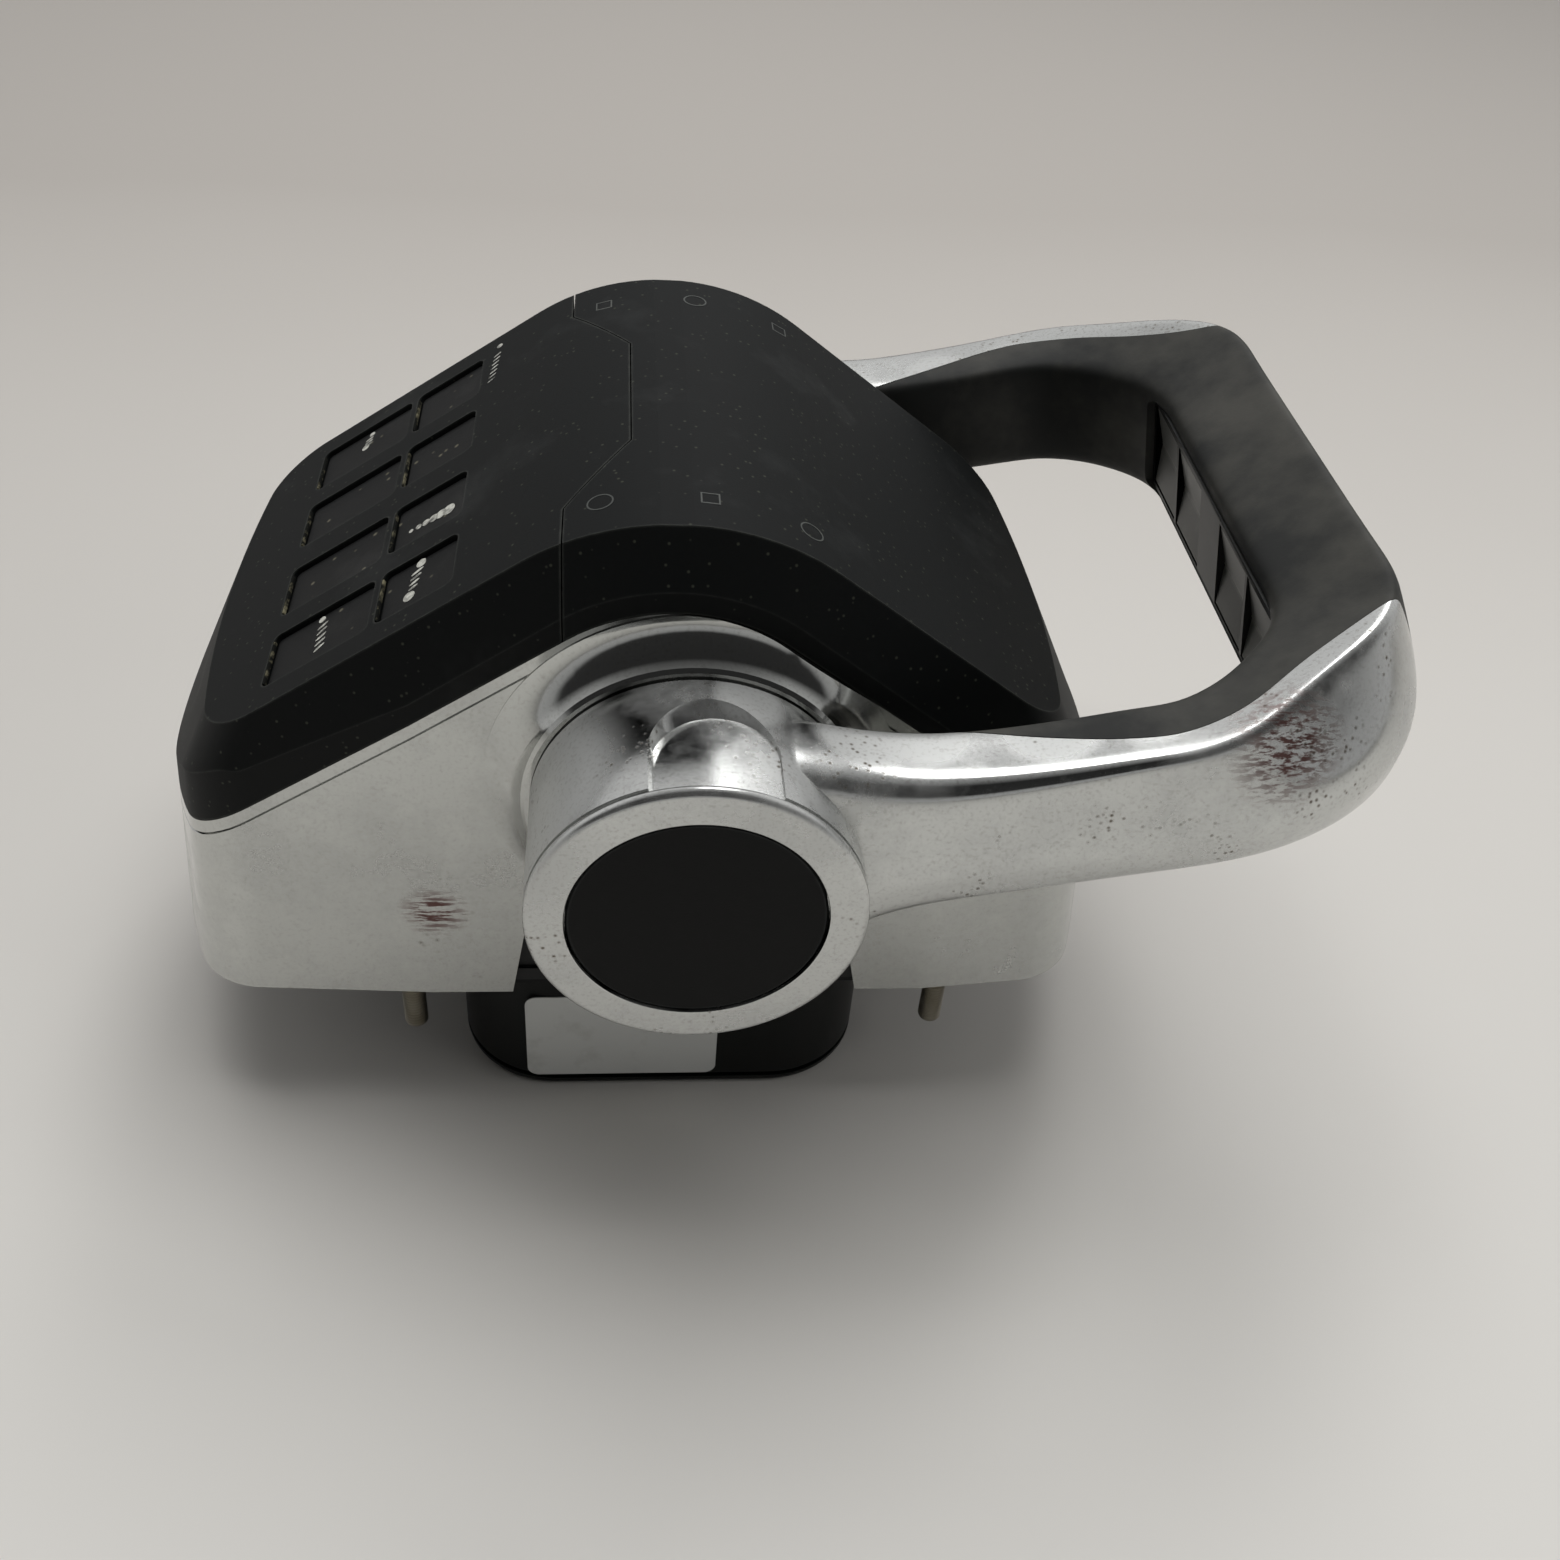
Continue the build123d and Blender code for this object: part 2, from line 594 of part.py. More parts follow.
def box_screw_points():
    mid = (BOX_REAR_X - BOX_FRONT_X) / 2
    reach_x = (BOX_FRONT_X + BOX_REAR_X) / 2 - BOX_CORNER_R * 0.52
    reach_y = BOX_Y - BOX_CORNER_R * 0.52
    return [(mid + sx * reach_x, sy * reach_y) for sx in (-1, 1) for sy in (-1, 1)]


def lower_box():
    """Open-bottomed housing that hangs below the dash, with screw pillars."""
    outer = extrude(box_outline(0), amount=-(BOX_DEPTH - LID_T))
    inner = extrude(box_outline(BOX_WALL), amount=-(BOX_DEPTH - LID_T))
    walls = outer - inner
    rim = extrude(box_outline(BOX_WALL - 0.01) - box_outline(BOX_WALL + 3.7), amount=-3)
    walls += rim
    walls = Pos(0, 0, GASKET_T) * (walls & box_between(-200, 200, -200, 200, -BOX_DEPTH, 0))
    for x, y in box_screw_points():
        foot = -BOX_DEPTH + LID_T
        ledge = MAIN_BOARD_Z - BOARD_T
        pillar = Pos(x, y, (ledge + foot) / 2) * Cylinder(POST_R, ledge - foot)
        pillar += Pos(x, y, (GASKET_T + foot) / 2) * Cylinder(POST_R - 1.5, GASKET_T - foot)
        pillar &= extrude(box_outline(0.5), amount=60, both=True)
        walls += pillar
    for x, y in box_screw_points():
        walls -= Pos(x, y, -BOX_DEPTH + LID_T) * Cylinder(BOX_SCREW_R, 30)
    walls -= socket_window()
    walls -= box_between(-200, 200, -200, 200, -BOX_DEPTH - 5, -BOX_DEPTH + LID_T)
    return solid_of(walls)


def box_lid():
    """Bottom lid with a rounded edge, four countersinks and stiffening ribs inside."""
    lid = Pos(0, 0, -BOX_DEPTH) * extrude(box_outline(0), amount=LID_T)
    lid = fillet(lid.faces().sort_by(Axis.Z)[0].edges(), radius=BOX_FOOT_ROUND * 0.8)
    for x, y in box_screw_points():
        lid -= Pos(x, y, -BOX_DEPTH) * Cylinder(BOX_SCREW_R + 0.2, 20)
        lid -= Pos(x, y, -BOX_DEPTH) * Cylinder(BOX_SCREW_HEAD_R + 0.2, 3.6)
    return lid


def box_screws():
    """Four pan-head screws that hold the lid."""
    group = []
    for x, y in box_screw_points():
        head = Pos(x, y, -BOX_DEPTH + 1.1) * Cylinder(BOX_SCREW_HEAD_R, 1.4)
        stem = Pos(x, y, -BOX_DEPTH + 1.8 + 5.5) * Cylinder(BOX_SCREW_R - 0.05, 11)
        slot = Pos(x, y, -BOX_DEPTH + 0.6) * Box(4, 0.9, 0.8)
        cross = Pos(x, y, -BOX_DEPTH + 0.6) * Box(0.9, 4, 0.8)
        group.append(solid_of(head + stem - slot - cross))
    return Compound(group)


def gasket():
    """Foam gasket between the dash and the console, cut round the lower box."""
    plan = plan_face(0, SHELL_WALL + 0.6, NOSE_X, SIDE_Y, TAIL_X)
    sheet = extrude(plan, amount=GASKET_T)
    sheet -= extrude(box_outline(-0.4), amount=20, both=True)
    for x, y in stud_points():
        sheet -= Pos(x, y, 0) * Cylinder(STUD_HOLE_R, 20)
    return solid_of(sheet)


def studs():
    """Four mounting studs moulded into the chassis bosses."""
    group = []
    for x, y in stud_points():
        z1 = floor_z() + STUD_BOSS_H - 1
        stud = Pos(x, y, (GASKET_T - STUD_LENGTH) / 2) * Cylinder(STUD_R, GASKET_T + STUD_LENGTH)
        stud = chamfer(stud.faces().sort_by(Axis.Z)[0].edges(), length=0.7)
        stud += Pos(x, y, (GASKET_T + z1) / 2) * Cylinder(STUD_ROOT_R, z1 - GASKET_T)
        group.append(solid_of(stud))
    return Compound(group)


def socket_place():
    return (BOX_REAR_X - BOX_FRONT_X) / 2, BOX_Y, -18.0


def socket_window():
    x, y, z = socket_place()
    return Pos(x, y, z) * Box(SOCKET_W, 30, SOCKET_H)


def harness_socket():
    """Shrouded plug socket in the far wall of the lower box."""
    x, y, z = socket_place()
    y_out = y + 0.0
    body = Pos(x, y_out - SOCKET_DEPTH / 2, z) * Box(
        SOCKET_W - 2 * 0.1, SOCKET_DEPTH, SOCKET_H - 2 * 0.1)
    body += Pos(x, y_out - BOX_WALL - 1.6, z) * Box(SOCKET_W + 6, 3, SOCKET_H + 6)
    body -= Pos(x, y_out - (SOCKET_DEPTH - 4) / 2, z) * Box(
        SOCKET_W - 2 * SOCKET_WALL, SOCKET_DEPTH - 4, SOCKET_H - 2 * SOCKET_WALL)
    for col in range(6):
        for row in (-1, 1):
            body += Pos(x - 10 + 4 * col, y_out - SOCKET_DEPTH + 6, z + 2.6 * row) * Box(0.8, 5, 0.8)
    return solid_of(body)


def main_board():
    """Controller board in the lower box, carried on the screw pillars' ledge."""
    board = Pos(0, 0, MAIN_BOARD_Z - BOARD_T) * extrude(box_outline(BOX_WALL + 0.3), amount=BOARD_T)
    for x, y in box_screw_points():
        board -= Pos(x, y, MAIN_BOARD_Z) * Cylinder(POST_R - 1.3, 10)
    x, y, z = socket_place()
    board -= box_between(x - SOCKET_W, x + SOCKET_W, y - SOCKET_DEPTH - 1, y + 5, -100, 0)
    for cx, cy, w, h, t in ((-20, -10, 14, 14, 2), (12, -18, 10, 10, 1.6), (20, 10, 12, 8, 3), (-18, 22, 8, 12, 4)):
        board += Pos(cx, cy, MAIN_BOARD_Z + t / 2 - 0.01) * Box(w, h, t)
    return solid_of(board)


def label_plate():
    """Plain label on the near wall of the lower box."""
    x0 = -39.0
    plate = box_between(x0, x0 + LABEL_W, -BOX_Y - LABEL_T, -BOX_Y, -7.0 - LABEL_H, -7.0)
    return fillet(plate.edges().filter_by(Axis.Y), radius=3.0)


# ================================================================ shaft assembly
def flats(extra):
    """Driving section of the shaft ends: a round with two flats."""
    return Box(2 * (FLAT_HALF + extra), 400, 4 * SHAFT_R)


def lever_shaft():
    """Through shaft with flats at both ends, tapped for the hub screws."""
    end_y = HUB_FRONT_Y - HUB_POCKET_DEPTH - 1.0
    middle = cyl_y(SHAFT_R, -HUB_ROOT_Y, HUB_ROOT_Y)
    ends = Rot(0, 0, 0) * Rot(0, -LEVER_ANGLE, 0) * (cyl_y(SHAFT_R, -end_y, end_y, z=0) & flats(0))
    shaft = middle + Pos(0, 0, AXIS_Z) * ends
    shaft -= cyl_y(SCREW_R + 0.05, -end_y, -end_y + 17)
    shaft -= cyl_y(SCREW_R + 0.05, end_y, end_y - 17)
    return solid_of(shaft)


def bush():
    """Flanged bush of the near cheek."""
    y_in = CHEEK_OUT_Y - CHEEK_T - BOSS_DEPTH
    y_out = HUB_ROOT_Y - 1.2
    ring = cyl_y(BUSH_R - 0.02, -y_in, -y_out)
    ring += cyl_y(BUSH_FLANGE_R, -CHEEK_OUT_Y, -CHEEK_OUT_Y - BUSH_FLANGE_T)
    return solid_of(ring - cyl_y(SHAFT_R + SHAFT_FIT, -200, 0))


def hub_screw():
    """Socket screw and washer that hold the near arm on the shaft."""
    y_seat = HUB_FRONT_Y - HUB_POCKET_DEPTH
    washer = cyl_y(WASHER_R, -y_seat, -y_seat - WASHER_T) - cyl_y(SCREW_R + 0.3, -200, 0)
    head = cyl_y(SCREW_HEAD_R, -y_seat - WASHER_T, -y_seat - WASHER_T - SCREW_HEAD_H + 0.6)
    stem = cyl_y(SCREW_R, -y_seat - WASHER_T, -y_seat + 14)
    with BuildSketch(Plane.XZ.offset(y_seat + WASHER_T + SCREW_HEAD_H - 0.6)) as sk:
        with Locations((0, AXIS_Z)):
            RegularPolygon(HEX_SOCKET / 2, 6, major_radius=False)
    socket = extrude(sk.sketch, amount=-3)
    return Compound([solid_of(washer), solid_of(head + stem - socket)])


def hub_cap():
    """Plain disc that closes the near hub."""
    y0 = HUB_FRONT_Y - CAP_RECESS
    disc = cyl_y(CAP_R, -y0, -(y0 - CAP_T))
    return chamfer(disc.edges().sort_by(Axis.Y)[0:1], length=0.5)


def detent_wheel():
    """Detent wheel with notches for neutral and the gear positions."""
    wheel = cyl_y(DETENT_R, DETENT_Y - DETENT_T / 2, DETENT_Y + DETENT_T / 2)
    wheel += cyl_y(SHAFT_R + 5, DETENT_Y - DETENT_T / 2 - 4, DETENT_Y + DETENT_T / 2)
    wheel -= cyl_y(SHAFT_R + 0.02, 0, 60)
    for angle in (0, 64, 79, 94, 119):
        a = math.radians(-90 - angle)
        x = (DETENT_R + 1.2) * math.cos(a)
        z = (DETENT_R + 1.2) * math.sin(a)
        wheel -= cyl_y(DETENT_NOTCH_R, 0, 60, x=x, z=AXIS_Z + z)
    for angle in range(0, 360, 60):
        a = math.radians(angle)
        wheel -= cyl_y(3, 0, 60, x=17.5 * math.cos(a), z=AXIS_Z + 17.5 * math.sin(a))
    return solid_of(wheel)


def detent_plunger():
    """Sprung plunger with a ball nose, drawn clear of the wheel."""
    top = AXIS_Z - DETENT_R - PLUNGER_GAP
    rod = Pos(0, DETENT_Y, top - PLUNGER_R - 6) * Cylinder(PLUNGER_R, 12)
    nose = Pos(0, DETENT_Y, top - PLUNGER_R) * Sphere(PLUNGER_R)
    return solid_of(rod + nose)


def detent_spring():
    """Spring under the plunger, as its enclosing sleeve."""
    top = AXIS_Z - DETENT_R - PLUNGER_GAP - PLUNGER_R - 12
    foot = AXIS_Z - DETENT_R - PLUNGER_GAP - 8 - 22
    sleeve = Pos(0, DETENT_Y, (top + foot) / 2) * Cylinder(PLUNGER_R - 0.4, top - foot)
    return solid_of(sleeve - Pos(0, DETENT_Y, 0) * Cylinder(PLUNGER_R - 1.6, 200))


def brake_disc():
    """Friction disc of the adjustable lever brake."""
    disc = cyl_y(BRAKE_R, BRAKE_Y - BRAKE_T / 2, BRAKE_Y + BRAKE_T / 2)
    disc += cyl_y(SHAFT_R + 5, BRAKE_Y - BRAKE_T / 2, BRAKE_Y + BRAKE_T / 2 + 4)
    return solid_of(disc - cyl_y(SHAFT_R + 0.02, -60, 60))


def brake_pad():
    """Half-round friction pad on its backing plate."""
    y1 = BRAKE_Y - BRAKE_T / 2 - PAD_GAP
    ring = cyl_y(BRAKE_R - 1, y1 - PAD_T, y1) - cyl_y(SHAFT_R + 4, -60, 0)
    return solid_of(ring & box_between(-PEDESTAL_W, PEDESTAL_W, -100, 0, 0, AXIS_Z - SHAFT_R - 2))


def magnet_ring():
    """Ring magnet on the shaft, read by the angle sensor."""
    return solid_of(cyl_y(MAGNET_R, -MAGNET_T / 2, MAGNET_T / 2) - cyl_y(SHAFT_R + 0.02, -60, 60))


def sensor_board():
    """Angle sensor board under the magnet ring."""
    z0 = sensor_seat_z()
    half = PEDESTAL_W / 2
    board = box_between(-half - 5, half + 5, -7, 7, z0, z0 + BOARD_T)
    board += box_between(-3, 3, -3, 3, z0 + BOARD_T - 0.1, z0 + BOARD_T + SENSOR_CHIP_T)
    return solid_of(board)


# ================================================================ lever bail
def bail_section(origin, direction, corners, rounds):
    """One closed section of the bail in a vertical plane of the lever frame."""
    plane = Plane(origin=origin, x_dir=direction, z_dir=Vector(*direction).cross(Vector(0, 0, 1)))
    (di, vi0), (do, vo0), (dm, vm), (dt, vt), (dti, vti) = corners
    with BuildSketch(plane) as sk:
        with BuildLine():
            Line((di, vi0), (do, vo0))
            ThreePointArc((do, vo0), (dm, vm), (dt, vt))
            Line((dt, vt), (dti, vti))
            Line((dti, vti), (di, vi0))
        make_face()
        order = [(di, vi0), (do, vo0), (dt, vt), (dti, vti)]
        for target, radius in zip(order, rounds):
            near = min(sk.vertices(), key=lambda v: math.hypot(v.X - target[0], v.Y - target[1]))
            fillet(near, radius=radius)
    return sk.sketch.face()


def bail_stations():
    """Stations of the bail from the near hub round the near corner to the middle of the grip."""
    stations = []
    arm = (
        (14.0, 29.5, -28.5), (26.0, 25.6, -22.5), (38.0, 20.6, -17.4),
        (52.0, 16.8, -ARM_BOTTOM), (72.0, ARM_TOP, -ARM_BOTTOM), (98.0, ARM_TOP + 0.7, -ARM_BOTTOM))
    for u, top, bottom in arm:
        corners = (
            (ARM_IN_Y, bottom), (ARM_OUT_Y - 0.8, bottom), (ARM_OUT_Y + 0.4, bottom * 0.35),
            (ARM_RIDGE_Y, top), (ARM_IN_Y - ARM_LEAN, top - 0.8))
        stations.append(((u, 0, 0), (0, -1, 0), corners, (4.0, 4.5, 2.6, 3.5)))
    # angle, then what the inner face, its lean, the foot, the swell, the ridge, the height of the
    # swell and the height of the ridge differ by from the cross grip's
    corner = (
        (15, -0.8, -2.2, -3.6, -6.6, -3.9, -4.0, -8.4),
        (30, -1.2, -2.2, -1.1, -3.0, -6.6, -2.6, -6.4),
        (45, -1.6, -2.4, 2.4, 0.5, -5.7, -1.2, -3.8),
        (60, -1.2, -1.6, 4.5, 2.3, 0.1, -0.4, -1.4),
        (73, -0.4, -0.8, 3.4, 2.5, 2.4, 0.0, -0.4),
        (90, 0.0, 0.0, 0.0, 0.0, 0.0, 0.0, 0.0))
    for angle, at_in, lean, at_foot, at_mid, at_top, rise_mid, rise_top in corner:
        a = math.radians(angle)
        d_in = CORNER_IN + at_in
        d_foot = CORNER_IN + BAR_FOOT_W + at_foot
        d_mid = CORNER_IN + BAR_OUT_W + at_mid
        d_top = CORNER_IN + BAR_TOP_W + at_top
        direction = (math.sin(a), -math.cos(a), 0)
        corners = (
            (d_in, -ARM_BOTTOM), (d_foot, -ARM_BOTTOM + 0.6), (d_mid, 1.0 + rise_mid),
            (d_top, BAR_TOP + rise_top), (d_in + 1.0 + lean, BAR_IN_TOP))
        pivot = (BAR_IN_U - CORNER_IN, CORNER_SIDE - ARM_IN_Y, 0)
        stations.append((pivot, direction, corners, (5.0, 5.0, 3.2, 4.0)))
    return stations


def bail_form():
    """The whole bail as one smooth form, in the lever frame."""
    stations = bail_stations()
    near = [bail_section(*s) for s in stations]
    pivot, _, corners, rounds = stations[-1]
    middle = []
    for share in (0.5, 0.0, -0.5):
        bow = BOW_U * (1 - share * share)
        bowed = tuple((d + (bow if i in (1, 2, 3) else 0.0), v) for i, (d, v) in enumerate(corners))
        middle.append(bail_section((pivot[0], share * pivot[1], 0), (1, 0, 0), bowed, rounds))
    far = []
    for origin, direction, corners, rounds in reversed(stations):
        far.append(mirror(bail_section(origin, direction, corners, rounds), about=Plane.XZ))
    return loft(near + middle + far)


def grip_region():
    """Plan region of the soft grip: inside the chrome boundary of the bail."""
    run = (
        (-86, 25.4), (-72, 20.8), (-54, 14.8), (-39, 10.7), (-28, 10.2), (-17, 13.4), (0, 23.5),
        (14, 30.4), (24, 33.8), (44, 40.4))
    near = [(BAR_IN_U + along, across - ARM_OUT_Y) for along, across in run]
    far = [(u, -y) for u, y in reversed(near)]
    with BuildSketch(Plane.XY.offset(-80)) as sk:
        with BuildLine():
            Spline(*near)
            Line(near[-1], far[0])
            Spline(*far)
            Line(far[-1], near[0])
        make_face()
    return extrude(sk.sketch, amount=160)


def core_form(extra):
    """Cross bar core right behind the rocker bezel, in the lever frame."""
    u0 = BAR_IN_U + BEZEL_SINK + BEZEL_DEPTH + CORE_SEAT
    end_y = ARM_OUT_Y - CORE_END
    return Pos(u0 + CORE_W / 2, 0, CORE_V) * Box(CORE_W + 2 * extra, 2 * (end_y + extra), CORE_H + 2 * extra)


def bezel_block(extra):
    """Envelope of the rocker bezel, in the lever frame."""
    half_y = rocker_outer_y() + BEZEL_FRAME
    half_v = ROCKER_H / 2 + BEZEL_FRAME
    u0 = BAR_IN_U + BEZEL_SINK
    block = Pos(u0 + BEZEL_DEPTH / 2, 0, ROCKER_V) * Box(
        BEZEL_DEPTH + 2 * extra, 2 * (half_y + extra), 2 * (half_v + extra))
    return fillet(block.edges().filter_by(Axis.X), radius=2.5 + extra)


def rocker_outer_y():
    return ROCKER_INNER_Y + 2 * ROCKER_W + ROCKER_SLIT


def rocker_centres():
    inner = ROCKER_INNER_Y + ROCKER_W / 2
    outer = inner + ROCKER_W + ROCKER_SLIT
    return (-outer, -inner, inner, outer)


def rocker_bezel():
    """Bezel of the four rockers, with pockets and pin bores."""
    block = bezel_block(0)
    for y in rocker_centres():
        block -= Pos(BAR_IN_U, y, ROCKER_V) * Box(14, ROCKER_W + 2 * ROCKER_GAP, ROCKER_H + 2 * ROCKER_GAP)
    pin_u = rocker_pin_u()
    for sign in (-1, 1):
        y0 = sign * (ROCKER_INNER_Y - 3)
        y1 = sign * (rocker_outer_y() + 1.2)
        block -= Pos(pin_u, (y0 + y1) / 2, ROCKER_V) * Rot(90, 0, 0) * Cylinder(PIN_R + 0.02, abs(y1 - y0))
    return LEVER_PLANE * solid_of(block)


def rocker_pin_u():
    return BAR_IN_U + BEZEL_SINK + ROCKER_T * 0.62


def rocker(y):
    """One two-way rocker: two facets that meet in a shallow valley, on a through pin."""
    u0 = BAR_IN_U + BEZEL_SINK + 0.2
    h = ROCKER_H / 2
    with BuildSketch(Plane.XZ.offset(-(y - ROCKER_W / 2))) as sk:
        with BuildLine():
            Polyline(
                (u0, ROCKER_V - h), (u0 + ROCKER_DISH, ROCKER_V), (u0, ROCKER_V + h),
                (u0 + 2.2, ROCKER_V + h), (u0 + ROCKER_T, ROCKER_V + 3), (u0 + ROCKER_T, ROCKER_V - 3),
                (u0 + 2.2, ROCKER_V - h), close=True)
        make_face()
    body = extrude(sk.sketch, amount=-ROCKER_W)
    body -= Pos(rocker_pin_u(), y, ROCKER_V) * Rot(90, 0, 0) * Cylinder(PIN_R + PIN_FIT, ROCKER_W + 4)
    return LEVER_PLANE * solid_of(body)


def rocker_pins():
    """Two steel pins, each through one pair of rockers."""
    group = []
    for sign in (-1, 1):
        y0 = sign * (ROCKER_INNER_Y - 2.5)
        y1 = sign * (rocker_outer_y() + 1.0)
        pin = Pos(rocker_pin_u(), (y0 + y1) / 2, ROCKER_V) * Rot(90, 0, 0) * Cylinder(PIN_R, abs(y1 - y0))
        group.append(LEVER_PLANE * pin)
    return Compound(group)


def hub():
    """Near hub drum with the saddle, the cap recess and the screw pocket."""
    drum = cyl_y(HUB_R, -HUB_ROOT_Y, -HUB_FRONT_Y)
    front = drum.edges().sort_by(Axis.Y)[0]
    drum = fillet(front, radius=HUB_RIM_ROUND)
    ring_y = HUB_FRONT_Y - RING_WIDTH
    drum -= cyl_y(HUB_R + 1, -ring_y, -(ring_y - RING_GROOVE)) - cyl_y(HUB_R - RING_GROOVE, -200, 0)
    top = AXIS_Z + HUB_R
    centre_y = SADDLE_BACK_Y + SADDLE_R
    with BuildSketch(Plane.XY.offset(top)) as sk:
        with BuildLine():
            Line((-SADDLE_R, -ring_y), (-SADDLE_R, -centre_y))
            ThreePointArc((-SADDLE_R, -centre_y), (0, -SADDLE_BACK_Y), (SADDLE_R, -centre_y))
            Line((SADDLE_R, -centre_y), (SADDLE_R, -ring_y))
            Line((SADDLE_R, -ring_y), (-SADDLE_R, -ring_y))
        make_face()
    # walls that lean in by 40 degrees towards the floor of the saddle
    saddle = extrude(sk.sketch, amount=-2 * SADDLE_DEPTH, taper=40)
    saddle += extrude(sk.sketch, amount=SADDLE_DEPTH)
    saddle = Pos(SADDLE_X, 0, 0) * saddle - cyl_y(HUB_R - SADDLE_DEPTH, -200, 0)
    return drum, saddle


def arm_near(bail, grip):
    """Near arm: hub, coved root and the chrome side of the bail to the grip's corner."""
    drum, saddle = hub()
    lever = LEVER_PLANE * ((bail - grip - core_form(CORE_FIT)) & Pos(0, -150, 0) * Box(600, 300, 400))
    arm = drum + lever
    arm -= saddle
    arm -= cyl_y(CAP_R + CAP_FIT, -HUB_FRONT_Y - 5, -(HUB_FRONT_Y - CAP_RECESS - CAP_T))
    arm -= cyl_y(HUB_POCKET_R, -HUB_FRONT_Y - 5, -(HUB_FRONT_Y - HUB_POCKET_DEPTH))
    bore = cyl_y(SHAFT_R + FLAT_FIT, -200, 0, z=0) & flats(FLAT_FIT)
    arm -= Pos(0, 0, AXIS_Z) * Rot(0, -LEVER_ANGLE, 0) * bore
    return solid_of(arm)


def grip_cover(bail, grip):
    """Soft grip over the inside and the cross bar of the bail."""
    cover = bail & grip
    cover -= core_form(CORE_FIT)
    cover -= bezel_block(BEZEL_FIT)
    cover -= Pos(-BEZEL_DEPTH / 2, 0, 0) * bezel_block(BEZEL_FIT)
    return LEVER_PLANE * solid_of(cover)


# ================================================================ build
def export(name, shape):
    """Write one node."""
    export_step(solid_of(shape), f"parts/{name}.step")


def build():
    os.makedirs("parts", exist_ok=True)
    form = console_form()
    cover_inner = console_form(COVER_WALL)
    shell_inner = console_form(SHELL_WALL)
    parting = under_parting(0)
    cover_parting = under_parting(-0.1)
    cover_shell = form - cover_inner
    export("keypad_cover", solid_of(keypad_cover(cover_shell, cover_parting)))
    export("hump_cover", solid_of(hump_cover(cover_shell, cover_parting)))
    shell = side_shell(form, shell_inner, parting)
    export("side_shell_near", shell)
    export("side_shell_far", mirrored(shell))
    export("chassis", chassis())
    export("lower_box", lower_box())
    export("box_lid", box_lid())
    export("box_screws", box_screws())
    export("dash_gasket", gasket())
    export("mounting_studs", studs())
    export("harness_socket", harness_socket())
    export("main_board", main_board())
    export("label_plate", label_plate())
    export("keypad_mat", keypad_mat())
    export("keypad_board", keypad_board())
    for name, centre, y, length in key_places():
        export(name, key_cap(centre, y, length))
    export("lever_shaft", lever_shaft())
    export("bush_near", bush())
    export("bush_far", mirrored(bush()))
    export("hub_screw_near", hub_screw())
    export("hub_screw_far", mirrored(hub_screw()))
    export("hub_cap_near", hub_cap())
    export("hub_cap_far", mirrored(hub_cap()))
    export("detent_wheel", detent_wheel())
    export("detent_plunger", detent_plunger())
    export("detent_spring", detent_spring())
    export("brake_disc", brake_disc())
    export("brake_pad", brake_pad())
    export("magnet_ring", magnet_ring())
    export("sensor_board", sensor_board())
    bail = bail_form()
    grip = grip_region()
    near = arm_near(bail, grip)
    export("arm_near", near)
    export("arm_far", mirrored(near))
    export("grip_cover", grip_cover(bail, grip))
    export("grip_core", LEVER_PLANE * core_form(0))
    export("rocker_bezel", rocker_bezel())
    export("rocker_pins", rocker_pins())
    for number, y in enumerate(rocker_centres(), 1):
        export(f"rocker_{number}", rocker(y))


build()
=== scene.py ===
"""Dressed scene of a boat throttle: one bail lever over a domed console with a keypad."""

import logging
import math
from dataclasses import dataclass, replace
from enum import Enum
from typing import Sequence

import bmesh
import bpy
from bmesh.types import BMEdge, BMesh, BMFace, BMVert
from bpy.types import Material, Mesh, Node, NodeSocket, NodeTree, Object
from mathutils import Matrix, Vector
from mathutils.geometry import interpolate_bezier


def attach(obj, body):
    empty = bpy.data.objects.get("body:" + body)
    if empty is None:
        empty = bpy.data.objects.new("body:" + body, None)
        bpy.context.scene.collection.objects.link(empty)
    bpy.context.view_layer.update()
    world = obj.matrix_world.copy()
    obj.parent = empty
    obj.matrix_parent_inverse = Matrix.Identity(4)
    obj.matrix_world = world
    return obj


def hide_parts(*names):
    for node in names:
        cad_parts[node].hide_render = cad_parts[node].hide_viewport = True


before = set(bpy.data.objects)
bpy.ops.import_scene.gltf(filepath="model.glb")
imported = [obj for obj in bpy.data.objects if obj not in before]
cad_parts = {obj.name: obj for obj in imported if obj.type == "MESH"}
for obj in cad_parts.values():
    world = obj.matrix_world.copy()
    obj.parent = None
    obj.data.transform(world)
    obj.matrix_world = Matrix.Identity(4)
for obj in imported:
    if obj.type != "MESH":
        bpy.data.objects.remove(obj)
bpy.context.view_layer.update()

LOG = logging.getLogger("throttle")
MM = 0.001
Colour = tuple[float, float, float, float]
Patch = tuple[tuple[float, float, float], float]


# ------------------------------------------------------------------ shared helpers
def linear(code: str) -> Colour:
    """Turn an sRGB hex colour into linear RGBA.

    Args:
        code: colour as "#rrggbb".

    Returns:
        Linear red, green, blue and an alpha of 1.
    """
    channels = [int(code[i:i + 2], 16) / 255 for i in (1, 3, 5)]
    red, green, blue = (c / 12.92 if c <= 0.04045 else ((c + 0.055) / 1.055) ** 2.4 for c in channels)
    return (red, green, blue, 1.0)


